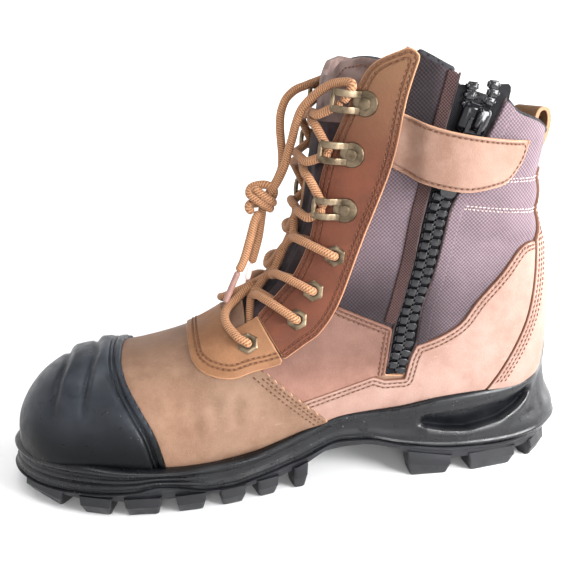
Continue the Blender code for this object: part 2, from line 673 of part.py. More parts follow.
def midsole_block(name, rise, finish):
    """The midsole's outside as a closed block, grown by rise at its top and twice that at its sides."""
    rings = []
    for share, bulge, hollow in MIDSOLE_SIDE:
        def grow(x):
            lean = share * height_at(MIDSOLE_LEAN, x)
            return bulge + 2 * rise - lean - hollow * HEEL_RECESS * recess_share(x)
        ring = sole_ring(grow)
        foot = [height_at(PARTING, x) for x, _ in ring]
        top = [height_at(SOLE_TOP, x - 2 * rise) + rise for x, _ in ring]
        rings.append([(p[0], p[1], a + share * (b - a)) for p, a, b in zip(ring, foot, top)])
    lid = sole_ring(lambda x: -RIM_INSET)
    rings.append([(p[0], p[1], top[2]) for p, top in zip(lid, rings[-1])])
    return add_mesh(name, *stacked_rings(rings), finish)


def make_midsole():
    """The foam midsole, a cup that the upper stands in."""
    midsole = midsole_block("midsole", 0.0, FOAM)
    cup = closed_last("sole_cup", GAP)
    boolean(cup, below_line("seat", SEAT, 0.0), "DIFFERENCE")
    boolean(midsole, cup, "DIFFERENCE")


def lug_block(corners, root, foot):
    """A tapered block from four plan corners, its foot drawn in towards its middle."""
    middle = np.mean(corners, axis=0)
    points = []
    for x, y in corners:
        points.append((x, y, root(x)))
    for x, y in corners:
        drawn = np.array([x, y]) - middle
        drawn *= 1 - LUG_TAPER / np.linalg.norm(drawn)
        points.append((*(middle + drawn), foot(middle[0] + drawn[0])))
    faces = [(0, 1, 2, 3), (7, 6, 5, 4)]
    faces += [(i, i + 4, (i + 1) % 4 + 4, (i + 1) % 4) for i in range(4)]
    return points, faces


def edge_at(x, side):
    """The y of the sole's edge at x."""
    edge = SOLE_LOOP[:SOLE_TIP + 1] if side > 0 else np.vstack([SOLE_LOOP[SOLE_TIP:], SOLE_LOOP[:1]])[::-1]
    return float(np.interp(x, edge[:, 0], edge[:, 1]))


def make_outsole():
    """The rubber outsole: a waved plate with its lugs fused on."""
    rings = []
    for share, bulge, heel_in in PLATE_SIDE:
        ring = sole_ring(lambda x: bulge - heel_in * min(max((HEEL_END_X - x) / HEEL_DRAW_RUN, 0.0), 1.0))
        foot = [height_at(PLATE_UNDER, x) for x, _ in ring]
        top = [height_at(PARTING, x) - GAP for x, _ in ring]
        rings.append([(p[0], p[1], a + share * (b - a)) for p, a, b in zip(ring, foot, top)])
    outsole = add_mesh("outsole", *stacked_rings(rings), RUBBER)
    points, faces = [], []

    def root(x):
        return height_at(PLATE_UNDER, x) + LUG_ROOT

    def foot(x):
        return height_at(LUG_FOOT, x)

    def add_block(corners):
        block, block_faces = lug_block(np.array(corners), root, foot)
        base = len(points)
        points.extend(block)
        faces.extend(tuple(i + base for i in face) for face in block_faces)
    for front, rear, depth in EDGE_LUGS:
        for side in SIDE.values():
            inset = LUG_INSET if rear > HEEL_END_X else HEEL_LUG_INSET
            outer = [edge_at(x, side) - side * inset for x in (front, rear)]
            inner = [y - side * depth for y in outer]
            add_block([(front, outer[0]), (rear, outer[1]), (rear, inner[1]), (front, inner[0])])
    for front, rear, half in MIDDLE_LUGS:
        shift = TOE_LUG_SHIFT if front > TOE_LUG_X else 0.0
        add_block([(front, shift - half), (rear, shift - half), (rear, shift + half), (front, shift + half)])
    boolean(outsole, add_mesh("lugs", points, faces, None), "UNION")


# Overlays cut from the last's own surface
def overlay(name, outline, sides, finish, out=OVERLAY_OUT, on_sole=False):
    """A sheet over the upper: a side-view outline kept between two grown lasts."""
    spans = {"inner": (OVERLAY_FROM_Y, HALF_SPAN), "outer": (-HALF_SPAN, -OVERLAY_FROM_Y)}
    y_from, y_to = spans.get(sides, (-HALF_SPAN, HALF_SPAN))
    piece = side_prism(name, outline, y_from, y_to, finish)
    boolean(piece, form(out), "INTERSECT")
    boolean(piece, form(OVERLAY_IN), "DIFFERENCE")
    if on_sole:
        boolean(piece, bpy.data.objects["sole_block"], "DIFFERENCE")
    return piece


def make_overlays():
    midsole_block("sole_block", SOLE_BLOCK_RISE, None)
    guard = curve_through(GUARD_REAR)[2:] + list(GUARD_AHEAD) + line_along(SOLE_TOP, GUARD_FOOT_XS, -SOLE_TUCK)
    overlay("toe_guard", guard, "both", RUBBER, GUARD_OUT, True)
    apron = curve_through(APRON_FRONT) + curve_through(THROAT_EDGE[:5]) + [APRON_TOP]
    overlay("apron", apron, "both", TAN)
    upper_throat = curve_through(THROAT_EDGE[4:])
    eyestay = upper_throat + curve_through(EYESTAY_REAR)[::-1]
    heel_line = line_along(SOLE_TOP, COUNTER_FOOT_XS, -SOLE_TUCK)
    counter_behind = [(x + COUNTER_CLEAR_X, z) for x, z in curve_through(BACKSTAY_FRONT[:6])[1:]]
    counter_behind += curve_through(FABRIC_REAR_FOOT)[::-1]
    counter_ahead = curve_through(LOWER_QUARTER)[::-1] + [COUNTER_FRONT] + heel_line
    quarter = list(FABRIC_FRONT_FOOT) + [QUARTER_REAR]
    quarter += [(x, z + QUARTER_RISE) for x, z in curve_through(LOWER_QUARTER)[::-1]]
    quarter += list(QUARTER_FRONT)
    off_x, off_z = QUARTER_OFF_STAY
    quarter += [(x - off_x, z - off_z) for x, z in curve_through(EYESTAY_REAR[:4])[1:-1]]
    for sides in SIDE:
        stay = overlay("eyestay_" + sides, eyestay, sides, BROWN)
        if sides == "outer":
            boolean(stay, bpy.data.objects["outer_collar"], "DIFFERENCE")
        overlay("quarter_" + sides, quarter, sides, TAN)
    inner_counter = counter_behind + list(COUNTER_ZIP_FOOT) + counter_ahead
    overlay("counter_inner", inner_counter, "inner", TAN, on_sole=True)
    outer_counter = counter_behind[:-1] + list(OUTER_SEAM) + counter_ahead
    overlay("counter_outer", outer_counter, "outer", TAN, on_sole=True)
    backstay = curve_through(BACKSTAY_FRONT) + list(BACKSTAY_BEHIND)
    overlay("backstay", backstay, "both", TAN, on_sole=True)


def placed(point, out, along):
    """A placement with z on the outward normal and x as near as it can be to along."""
    x_axis = (along - out * along.dot(out)).normalized()
    y_axis = out.cross(x_axis)
    turn = Matrix((x_axis, y_axis, out)).transposed().to_4x4()
    return Matrix.Translation(Vector(point) * MM) @ turn


def joined(name, meshes, finish):
    """One closed object from overlapping meshes: the first, with the others united to it."""
    obj = add_object(name, meshes[0], finish)
    for i, mesh in enumerate(meshes[1:]):
        boolean(obj, add_object("%s_add_%d" % (name, i), mesh, None), "UNION")
    return obj


def box_mesh(name, low, high):
    mesh = bpy.data.meshes.new(name)
    grown_box = bmesh.new()
    bmesh.ops.create_cube(grown_box, size=1.0)
    for vert in grown_box.verts:
        for axis in range(3):
            vert.co[axis] = (low[axis] + (vert.co[axis] + 0.5) * (high[axis] - low[axis])) * MM
    grown_box.to_mesh(mesh)
    grown_box.free()
    return mesh


def plate_mesh(name, outline, low, high):
    """A flat plate from a plan outline, between two heights."""
    count = len(outline)
    points = [(p[0] * MM, p[1] * MM, z * MM) for z in (low, high) for p in outline]
    faces = [tuple(range(count - 1, -1, -1)), tuple(range(count, 2 * count))]
    faces += [(i, (i + 1) % count, (i + 1) % count + count, i + count) for i in range(count)]
    mesh = bpy.data.meshes.new(name)
    mesh.from_pydata(points, [], faces)
    return mesh


# Strap and zip on the inner side
def edge_x(table, z):
    xs, zs = np.asarray(table, float).T
    return float(np.interp(z, zs, xs))


def zip_middle(z):
    return (edge_x(ZIP_FRONT, z) + edge_x(ZIP_REAR, z)) / 2


def inner_sheet(name, rows, low, high, finish):
    """A sheet on the inner side; rows hold points x, z and low and high give its two faces there."""
    under = [[on_side(x, z, low(x, z), 1.0) for x, z in row] for row in rows]
    over = [[on_side(x, z, high(x, z), 1.0) for x, z in row] for row in rows]
    return slab(name, under, over, finish)


def make_strap():
    def crown(x, z):
        reach = min(abs(x - STRAP_CROWN_X) / STRAP_CROWN_HALF, 1.0)
        return OVERLAY_IN + STRAP_CROWN * max(math.cos(math.pi / 2 * reach), 0.0) ** STRAP_CROWN_POWER
    rows = []
    for top_x, top_z, foot_x, foot_z in curve_through(STRAP):
        down_x, down_z = foot_x - top_x, foot_z - top_z
        rows.append([(top_x + down_x * f, top_z + down_z * f) for f in STRAP_ACROSS])
    inner_sheet("strap", rows, crown, lambda x, z: crown(x, z) + STRAP_THICK, TAN)


def teeth_root(x, z):
    """How far out the zip's teeth start, just off the tape."""
    return TAPE_OUT + TEETH_OFF_TAPE


def make_zip():
    heights = list(np.linspace(ZIP_FOOT_Z - TAPE_FOOT, SLIDER_Z, TAPE_STATIONS))
    heights += [ZIP_TOP_Z - TAPE_SHOULDER, ZIP_TOP_Z]
    teeth_rise = ZIP_TOP_Z + TEETH_PAST_TAPE - SLIDER_Z - TEETH_ABOVE_SLIDER
    for name, edge, toward in (("front", ZIP_FRONT, -1.0), ("rear", ZIP_REAR, 1.0)):
        rows = []
        for z in heights:
            outer = edge_x(edge, z) + toward * TAPE_INSET
            inner = zip_middle(z) - toward * TAPE_SPLIT
            if z > SLIDER_Z:
                inner = outer + toward * TAPE_OPEN_WIDTH
            rows.append([(outer, z), (inner, z)])
        inner_sheet("zip_tape_" + name, rows, lambda x, z: TAPE_IN, lambda x, z: TAPE_OUT, CLOTH)
        start = zip_middle(SLIDER_Z) - toward * TEETH_FROM_MIDDLE
        finish_x = edge_x(edge, ZIP_TOP_Z) + toward * TEETH_FROM_EDGE
        rows = []
        for f in (0.0, 0.5, 1.0):
            x = start + (finish_x - start) * f
            z = SLIDER_Z + TEETH_ABOVE_SLIDER + teeth_rise * f
            rows.append([(x - ZIP_TOOTH_HALF, z), (x + ZIP_TOOTH_HALF, z)])
        inner_sheet("zip_teeth_" + name, rows, teeth_root, lambda x, z: ZIP_CHAIN_HIGH, PLASTIC)
    rows = []
    for i in range(2 * ZIP_TEETH + 1):
        z = ZIP_FOOT_Z + (ZIP_CHAIN_TOP_Z - ZIP_FOOT_Z) * i / (2 * ZIP_TEETH)
        middle = zip_middle(z)
        rows.append([(middle - ZIP_CHAIN_HALF, z), (middle + ZIP_CHAIN_HALF, z)])
    pitch = (ZIP_CHAIN_TOP_Z - ZIP_FOOT_Z) / ZIP_TEETH

    def tooth(x, z):
        phase = round((z - ZIP_FOOT_Z) / pitch * 2)
        return ZIP_CHAIN_HIGH if phase % 2 else ZIP_CHAIN_LOW
    inner_sheet("zip_chain", rows, teeth_root, tooth, PLASTIC)


def slider_frame():
    """The slider's placement: its y runs up the zip and its z stands out from the boot."""
    point, out = side_frame(SLIDER_X, SLIDER_Z, 1.0)
    below_z = ZIP_CHAIN_TOP_Z - SLIDER_SIGHT
    lower, _ = side_frame(zip_middle(below_z), below_z, 1.0)
    return placed(point, out, out.cross(lower - point))


def make_slider():
    width, length, height = SLIDER_SIZE
    body = box_mesh("slider_body", (-width / 2, -length / 2, SLIDER_ROOT), (width / 2, length / 2, height))
    bridge = plate_mesh("slider_bridge", [(y, -z) for y, z in BRIDGE], -BRIDGE_HALF, BRIDGE_HALF)
    bridge.transform(Matrix(((0, 0, 1, 0), (1, 0, 0, 0), (0, -1, 0, 0), (0, 0, 0, 1))))
    slider = joined("zip_slider", [body, bridge], PLASTIC)
    adders = [m.object for m in slider.modifiers]
    for obj in [slider] + adders:
        obj.matrix_basis = slider_frame()
    half = PULL_THICK / 2
    outline = ((-PULL_HALF, -PULL_LENGTH), (PULL_HALF, -PULL_LENGTH), (PULL_HALF, half), (-PULL_HALF, half))
    pull = add_object("zip_pull", plate_mesh("pull_plate", outline, -half, half), PLASTIC)
    hole_low, hole_high = (-PULL_HOLE_HALF, -PULL_HOLE_LENGTH, -2 * half), (PULL_HOLE_HALF, -half, 2 * half)
    hole = add_object("pull_hole", box_mesh("pull_hole", hole_low, hole_high), None)
    boolean(pull, hole, "DIFFERENCE")
    for obj in (pull, hole):
        obj.matrix_basis = slider_frame() @ Matrix.Translation(Vector(PULL_PIN) * MM)


# Eyelets, hooks and the pull loop
def make_eyelets():
    profile = bpy.data.meshes.new("eyelet")
    corners = ((EYELET_HOLE_R, 0.0), (EYELET_R, 0.0), (EYELET_R, EYELET_THICK), (EYELET_HOLE_R, EYELET_THICK))
    profile.from_pydata([(r * MM, 0.0, z * MM) for r, z in corners], [(0, 1), (1, 2), (2, 3), (3, 0)], [])
    for side_name, side in SIDE.items():
        for i, (x, z) in enumerate(EYELETS):
            eyelet = add_object("eyelet_%s_%d" % (side_name, i + 1), profile.copy(), BRASS)
            turned = eyelet.modifiers.new("turned", "SCREW")
            turned.steps = EYELET_SIDES
            turned.render_steps = EYELET_SIDES
            turned.use_merge_vertices = True
            turned.merge_threshold = 0.00001
            turned.use_normal_flip = True
            point, out = side_frame(x, z, side)
            eyelet.matrix_basis = placed(point + out * (OVERLAY_OUT + GAP), out, Vector((1, 0, 0)))


def hook_meshes():
    """A riveted disc with two raised prongs."""
    turns = np.linspace(0, 2 * math.pi, HOOK_SIDES, endpoint=False)
    disc = [(HOOK_R * math.cos(a), HOOK_R * math.sin(a)) for a in turns]
    meshes = [plate_mesh("hook_disc", disc, 0.0, HOOK_THICK)]
    for across in (-HOOK_PRONG_AT, HOOK_PRONG_AT):
        prong = plate_mesh("hook_prong", PRONG, across - HOOK_PRONG_HALF, across + HOOK_PRONG_HALF)
        prong.transform(Matrix(((1, 0, 0, 0), (0, 0, 1, 0), (0, 1, 0, 0), (0, 0, 0, 1))))
        prong.flip_normals()
        meshes.append(prong)
    return meshes


def make_hooks():
    for side_name, side in SIDE.items():
        for i, (x, z, deeper) in enumerate(HOOKS):
            hook = joined("hook_%s_%d" % (side_name, i + 1), hook_meshes(), BRASS)
            point, out = side_frame(x, z, side)
            place = placed(point + out * (OVERLAY_OUT + GAP - deeper), out, Vector(HOOK_LEAN))
            for obj in [hook] + [m.object for m in hook.modifiers]:
                obj.matrix_basis = place


def make_pull_loop():
    """The leather strip sewn over the back of the collar as a loop."""
    middle = np.array(curve_through(PULL_LOOP))
    tangent = np.gradient(middle, axis=0)
    normal = np.stack([-tangent[:, 1], tangent[:, 0]], axis=1)
    normal /= np.linalg.norm(normal, axis=1)[:, None]
    outside = middle + normal * PULL_LOOP_THICK / 2
    inside = middle - normal * PULL_LOOP_THICK / 2
    outline = [tuple(p) for p in outside] + [tuple(p) for p in inside[::-1]]
    side_prism("pull_loop", outline, -PULL_LOOP_HALF, PULL_LOOP_HALF, TAN)


# Laces
def tube(name, points, radius, finish):
    """A round cord through points, with flat ends."""
    data = bpy.data.curves.new(name, "CURVE")
    data.dimensions = "3D"
    data.bevel_depth = radius * MM
    data.bevel_resolution = 2
    data.use_fill_caps = True
    spline = data.splines.new("POLY")
    spline.points.add(len(points) - 1)
    for at, point in zip(spline.points, points):
        at.co = (*[c * MM for c in point], 1.0)
    return add_object(name, data, finish)


def tube_mesh(name, points, radius):
    """The same cord as a closed mesh, for joining."""
    curve = tube(name, points, radius, LACE)
    bpy.context.view_layer.update()
    mesh = bpy.data.meshes.new_from_object(curve.evaluated_get(bpy.context.evaluated_depsgraph_get()))
    bpy.data.objects.remove(curve, do_unlink=True)
    welded = bmesh.new()
    welded.from_mesh(mesh)
    bmesh.ops.remove_doubles(welded, verts=welded.verts, dist=0.001 * MM)
    bmesh.ops.recalc_face_normals(welded, faces=welded.faces)
    welded.to_mesh(mesh)
    welded.free()
    return mesh


def lace_anchors():
    """Where the lace leaves each row downwards and upwards: x, z pairs."""
    rows = [((x + LACE_ASLANT, z - LACE_APART), (x - LACE_ASLANT, z + LACE_APART)) for x, z in EYELETS]
    for x, z, _ in HOOKS:
        ahead = x + HOOK_LACE_AHEAD
        rows.append(tuple((ahead + dx, z + dz) for dx, dz in (HOOK_LACE_LOWER, HOOK_LACE_UPPER)))
    return rows


def lace_run(start, end, side):
    """Points from one side's anchor across the tongue to the other side's."""
    (t0, turn0), (t1, turn1) = turn_at(*start), turn_at(*end)
    points = []
    for f in LACE_SHARES:
        spread = side * ((math.pi - turn0) * (1 - f) - (math.pi - turn1) * f)
        rise = abs(2 * f - 1) ** LACE_DROP
        out = LACE_OUT_MIDDLE + (LACE_OUT_EDGE - LACE_OUT_MIDDLE) * rise + LACE_OVER * (side < 0) * (1 - rise)
        points.append(around_front(t0 + (t1 - t0) * f, spread, out))
    return points


def make_laces():
    rows = lace_anchors()
    tube("lace_bar", lace_run(rows[0][0], rows[0][0], 1.0), LACE_D / 2, LACE)
    for i in range(len(rows) - 1):
        start, end = rows[i][1], rows[i + 1][0]
        runs = [tube_mesh("lace_run", lace_run(start, end, side), LACE_D / 2) for side in (1.0, -1.0)]
        joined("lace_cross_%d" % (i + 1), runs, LACE)
    knot = bpy.data.meshes.new("lace_knot")
    ball = bmesh.new()
    bmesh.ops.create_uvsphere(ball, u_segments=8, v_segments=6, radius=KNOT_R * MM)
    ball.to_mesh(knot)
    ball.free()
    add_object("lace_knot", knot, LACE).location = Vector(KNOT) * MM
    for name, route in (("lace_loop_near", LOOP_NEAR), ("lace_loop_far", LOOP_FAR)):
        arrive = (Vector(route[-1]) - Vector(KNOT)).normalized()
        ends = [Vector(KNOT) + arrive * (KNOT_R + GAP + lead) for lead in (KNOT_LEAD, 0.0)]
        tube(name, [Vector(p) for p in route] + ends, LACE_D / 2, LACE)
    for name, route, tip in (("near", END_NEAR, TIP_NEAR), ("far", END_FAR, TIP_FAR)):
        leave = (Vector(route[0]) - Vector(KNOT)).normalized()
        start = Vector(KNOT) + leave * (KNOT_R + GAP)
        tube("lace_end_" + name, [start] + [Vector(p) for p in route], LACE_D / 2, LACE)
        run = (Vector(tip) - Vector(route[-1])).normalized()
        tube("lace_tip_" + name, [Vector(route[-1]) + run * GAP, Vector(tip)], TIP_R, TIP)


def main():
    make_upper()
    make_tongue()
    make_insole()
    make_midsole()
    make_outsole()
    make_overlays()
    make_strap()
    make_zip()
    make_slider()
    make_eyelets()
    make_hooks()
    make_pull_loop()
    make_laces()


main()
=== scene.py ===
"""Looks of a zip-sided leather work boot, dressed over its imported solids.

Sizes are millimetres in the last's own frame, as in the part's source: x runs from the back of the heel
to the toe, +y is the inner side with the zip, z is up from the floor. Meshes are made in metres.
"""
import math

import bpy
import numpy as np
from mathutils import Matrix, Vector


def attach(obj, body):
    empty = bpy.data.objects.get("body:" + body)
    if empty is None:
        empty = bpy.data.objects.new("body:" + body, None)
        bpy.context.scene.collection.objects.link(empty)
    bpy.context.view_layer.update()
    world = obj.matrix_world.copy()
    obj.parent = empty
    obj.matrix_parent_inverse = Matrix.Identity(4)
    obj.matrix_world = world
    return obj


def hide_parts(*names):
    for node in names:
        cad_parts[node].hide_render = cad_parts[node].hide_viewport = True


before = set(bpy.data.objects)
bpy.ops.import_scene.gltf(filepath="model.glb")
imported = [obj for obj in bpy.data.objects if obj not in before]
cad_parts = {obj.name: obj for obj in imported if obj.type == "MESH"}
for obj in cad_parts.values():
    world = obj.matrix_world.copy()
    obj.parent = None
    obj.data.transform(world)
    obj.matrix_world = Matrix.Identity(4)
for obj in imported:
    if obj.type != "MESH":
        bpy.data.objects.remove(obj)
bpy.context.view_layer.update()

MM = 0.001
BOOT_MIDDLE_X = 151.7
WALL = 2.2
OVERLAY_IN = 0.3
LACE_D = 4.6

# The last: one row a section, fanned from upright at the toe to level at the collar
LAST_COLUMNS = ("back_x", "back_z", "front_x", "front_z", "middle_y",
                "inner_w", "outer_w", "fullest", "back_n", "front_n")
LAST = (
    (301.2, 19.5, 301.4, 33.0, 5.0, 0.0, 0.0, 0.42, 3.6, 2.2),
    (299.0, 19.0, 299.6, 42.5, 5.0, 11.5, 11.5, 0.42, 3.6, 2.2),
    (293.8, 18.5, 294.6, 52.3, 4.8, 21.0, 20.5, 0.42, 3.6, 2.2),
    (285.4, 17.8, 286.2, 61.0, 4.2, 30.0, 29.5, 0.41, 3.7, 2.2),
    (272.0, 17.0, 272.0, 68.2, 3.0, 38.2, 38.0, 0.38, 3.8, 2.2),
    (252.0, 16.4, 252.0, 71.8, 1.6, 44.5, 43.5, 0.35, 3.9, 2.2),
    (230.0, 16.0, 231.0, 75.0, 0.6, 48.8, 48.0, 0.32, 4.0, 2.1),
    (205.0, 16.4, 211.0, 80.8, 0.0, 48.8, 49.5, 0.30, 4.0, 2.0),
    (178.0, 19.0, 195.0, 89.0, 0.0, 44.5, 47.5, 0.31, 3.8, 2.0),
    (148.0, 22.8, 181.0, 99.5, 0.0, 39.5, 42.5, 0.36, 3.5, 2.0),
    (116.0, 26.6, 168.0, 111.0, 0.0, 37.2, 39.2, 0.42, 3.4, 2.1),
    (82.0, 29.8, 158.5, 124.5, 0.0, 37.0, 38.0, 0.46, 3.4, 2.2),
    (48.0, 31.2, 152.5, 139.0, 0.0, 37.4, 37.6, 0.48, 3.4, 2.3),
    (22.0, 33.5, 149.5, 152.0, 0.0, 38.0, 38.0, 0.48, 3.0, 2.4),
    (8.5, 43.0, 148.0, 163.0, 0.0, 38.6, 38.6, 0.48, 2.6, 2.4),
    (4.6, 60.0, 146.5, 173.0, 0.0, 39.2, 39.2, 0.48, 2.5, 2.4),
    (5.0, 84.0, 144.0, 183.5, 0.0, 40.0, 40.0, 0.48, 2.5, 2.4),
    (7.8, 112.0, 141.5, 195.0, 0.0, 41.2, 41.2, 0.48, 2.4, 2.4),
    (12.6, 141.0, 139.5, 208.5, 0.0, 42.8, 42.8, 0.48, 2.4, 2.4),
    (15.2, 168.0, 137.0, 224.5, 0.0, 44.2, 44.2, 0.48, 2.4, 2.4),
    (14.6, 190.0, 133.5, 242.0, 0.0, 45.2, 45.2, 0.48, 2.4, 2.4),
    (13.5, 211.0, 129.5, 261.0, 0.0, 46.0, 46.0, 0.48, 2.4, 2.4),
)
PER_ROW = 11
AROUND = 88

# The sole in plan: x, y of the inner edge, y of the outer edge
SOLE_PLAN = (
    (-5.0, 0.0, 0.0), (-2.6, 11.5, -11.0), (4.0, 20.5, -19.5), (15.0, 29.5, -28.5),
    (31.0, 35.5, -34.5), (52.0, 38.8, -37.5), (76.0, 39.5, -38.5), (100.0, 38.8, -39.8),
    (125.0, 38.6, -42.0), (150.0, 40.8, -45.5), (170.0, 45.5, -49.5), (190.0, 50.8, -53.0),
    (210.0, 53.6, -54.4), (232.0, 54.4, -53.2), (252.0, 52.2, -49.6), (270.0, 46.2, -43.2),
    (285.0, 38.0, -33.4), (296.4, 28.2, -22.2), (304.6, 16.5, -9.5), (308.0, 3.5, 3.5),
)
# Heights along the sole: x, z
SOLE_TOP = ((-5, 71), (4, 69), (9, 59), (16, 53), (25, 49.5), (47, 49), (73, 47), (100, 42.5), (128, 41),
            (149, 34), (164, 29), (179, 25.5), (212, 24.5), (248, 26), (268, 27.5), (290, 27), (309, 26.5))
PARTING = ((-5, 20), (12, 18), (31, 16), (67, 17), (95, 21), (116, 26), (130, 26.5), (154, 18), (179, 13),
           (192, 11.5), (204, 12), (217, 15), (229, 16.5), (241, 14.5), (263, 13), (293, 12), (309, 12.5))
PLATE_UNDER = ((-5, 11), (12, 9), (67, 9), (84, 11), (100, 18), (118, 21.5), (136, 20.5), (152, 12.5),
               (166, 9), (200, 8), (260, 8), (290, 8.5), (309, 10))
LUG_FOOT = ((-5, 2.2), (10, 0), (262, 0), (280, 1.5), (298, 4.5), (309, 7))
SEAT = ((-20, 36), (22, 35), (60, 33.5), (100, 30.5), (150, 25), (180, 21.5), (215, 18.8), (250, 18.8),
        (285, 20.5), (330, 23))
MIDSOLE_LEAN = ((-5, 5.8), (10, 4.8), (30, 3.0), (75, 1.6), (130, 1.0), (200, 1.0), (309, 2.2))
# The heel's leaf-shaped recess in the midsole's side: x, lower z, upper z
HEEL_LEAF = ((14, 41.5, 42.0), (24, 35.0, 42.6), (37, 29.6, 41.6), (58, 26.6, 37.0), (72, 28.0, 34.4),
             (86, 31.2, 31.6))
LEAF_DEPTH = 3.6
LEAF_BROW = 6.5

# Lugs along each edge: front x, rear x, depth in from the edge
# and lugs down the middle: front x, rear x, half width
EDGE_LUGS = ((298.0, 280.0, 13.0), (268.0, 254.0, 16.0), (245.0, 229.0, 18.0), (219.0, 206.0, 18.0),
             (196.0, 185.0, 16.0), (176.0, 167.0, 14.0), (156.0, 150.0, 12.0), (90.0, 68.0, 13.0),
             (54.0, 28.0, 14.0), (14.0, 3.0, 9.0))
MIDDLE_LUGS = ((306.0, 299.5, 5.0), (281.0, 270.0, 11.0), (256.0, 245.0, 19.0), (231.0, 219.0, 21.0),
               (207.0, 196.0, 21.0), (186.0, 176.0, 17.0), (80.0, 66.0, 12.0), (46.0, 33.0, 12.0))

# Edges seen from the side: x, z, from the lower or front end up or back
THROAT_EDGE = ((194, 97), (190, 90.5), (186, 87.5), (180, 90.5), (173, 95), (157, 112), (150, 123), (144, 139),
               (140, 164), (135, 183), (124, 213), (117, 225), (103, 232))
APRON_POINTS = 4
EYESTAY_REAR = ((161, 74.5), (150, 82), (141, 89), (131, 105), (119, 139), (107, 176), (102, 208), (97, 227))
APRON_FRONT = ((161, 73), (168, 71), (178, 69), (187, 66.5), (196, 67), (204, 69.5), (209, 74), (211, 82))
GUARD_REAR = ((223, 12), (224, 20), (225.5, 30), (229.5, 44), (236.5, 56), (243.5, 66), (246.5, 73),
              (243, 79), (236, 84))
LOWER_QUARTER = ((152, 51.5), (132, 57), (113, 63))
FABRIC_FRONT_FOOT = ((131, 102), (104.2, 90.5))
FABRIC_REAR_FOOT = ((90, 80), (86, 81), (76, 85), (66, 92), (58, 104), (46, 118), (35, 132), (22.6, 134))
BACKSTAY_FRONT = ((50, 44), (39, 62), (31, 78), (26, 93), (24, 113), (25, 134), (24, 150), (23, 172))
VAMP_SEAM = ((136, 34), (138, 39), (149, 49), (160, 59), (172, 70), (180, 77))
OUTER_COLLAR = ((60, 211), (84, 217.5), (104, 221.5), (122, 219), (150, 213))
OUTER_SEAM = ((97, 85.5), (109, 92), (110, 65))
ZIP_FRONT = ((106, 63), (103, 89), (99, 103), (94, 126), (91, 149), (88, 166), (83, 197), (78, 220))
ZIP_REAR = ((96, 62), (93, 73), (90, 80), (88, 102), (84, 114), (80, 134), (77, 153), (72, 167), (61, 192),
            (53, 210))
THROAT_AHEAD = ((99, 262), (170, 270), (215, 190), (205, 120))
ZIP_SLOT_TOP = ((76, 245), (48, 235))
TONGUE_FOOT = ((208, 78), (186, 74), (172, 80))
TONGUE_HEAD = ((112, 213), (108, 225), (124, 228), (133, 226), (140, 216))
TONGUE_AHEAD = ((170, 190), (185, 130), (215, 100))
TONGUE_TUCK = 13.0
TONGUE_OUT = -2.7
TONGUE_THICK = 3.4
# The laces press the tongue in along its middle: how deep, across which y, and from and to which z
TONGUE_PRESSED, PRESSED_ACROSS, PRESSED_FROM, PRESSED_TO = 5.0, (4.0, 17.0), (92.0, 106.0), (165.0, 190.0)
TONGUE_CLOTH_TOP = 196.0
# Low swellings along the tongue: how high, how much run makes one radian, where they fade at the top
TONGUE_SWELL, TONGUE_WAVE, SWELL_TO = 0.385, 9.0, (190.0, 205.0)
FAR_ABOVE = 300.0

# The eyestay's upper corner, rounded between its two edges
STAY_CORNER = ((100.6, 231.6), (98.4, 230.2), (97.2, 228.4))

# Strap over the zip: top x, top z, foot x, foot z of each section from the eyestay to the free end
STRAP = ((102.3, 201.5, 106.0, 175.5), (94, 198, 97, 170.5), (84, 195, 85, 167), (73, 192.7, 72, 165),
         (63, 191, 60, 166), (51, 189.3, 50, 168.5), (39.5, 188, 42.5, 178))
STRAP_THICK = 1.8
STRAP_CROWN_X = 76.0
STRAP_CROWN_HALF = 35.0
STRAP_CROWN = 9.0
STRAP_CROWN_POWER = 1.3
# The strap's crown and thickness fade out where it goes under the eyestay
STRAP_CROWN_FADE, STRAP_THIN_FADE, STRAP_THINNED = (93.0, 102.0), (94.0, 101.0), 0.8
STRAP_TUCK = (4.0, 1.5, 4.0, 1.5)


# Curves and the last's surface
def through(rows, t):
    """Points on the smooth curve that passes through a table's rows; t counts rows."""
    rows = np.asarray(rows, float)
    t = np.asarray(t, float)
    padded = np.vstack([2 * rows[0] - rows[1], rows, 2 * rows[-1] - rows[-2]])
    i = np.clip(np.floor(t).astype(int), 0, len(rows) - 2)
    f = (t - i)[..., None]
    a, b, c, d = padded[i], padded[i + 1], padded[i + 2], padded[i + 3]
    bend = (2 * a - 5 * b + 4 * c - d) * f * f + (3 * b - a - 3 * c + d) * f ** 3
    return 0.5 * (2 * b + (c - a) * f + bend)


def smooth_line(rows, per_span=5):
    """A table's rows as a smooth line of points."""
    return through(rows, np.linspace(0, len(rows) - 1, (len(rows) - 1) * per_span + 1))


def height_at(table, x):
    """Smooth heights along the boot, from a table of x and height."""
    xs, zs = np.asarray(table, float).T
    x = np.clip(np.asarray(x, float), xs[0], xs[-1])
    steps = np.diff(zs) / np.diff(xs)
    before, after = steps[:-1], steps[1:]
    level = before * after <= 0
    slope = np.where(level, 0.0, 2 * before * after / np.where(level, 1.0, before + after))
    slope = np.concatenate([steps[:1], slope, steps[-1:]])
    i = np.clip(np.searchsorted(xs, x, side="right") - 1, 0, len(xs) - 2)
    h = xs[i + 1] - xs[i]
    f = (x - xs[i]) / h
    rise = slope[i] * h * f * (1 - f) ** 2 - slope[i + 1] * h * f * f * (1 - f)
    return zs[i] * (1 + 2 * f) * (1 - f) ** 2 + zs[i + 1] * f * f * (3 - 2 * f) + rise


def ease(value, low, high):
    """0 below low, 1 above high and a smooth step between."""
    f = np.clip((np.asarray(value, float) - low) / (high - low), 0.0, 1.0)
    return f * f * (3 - 2 * f)


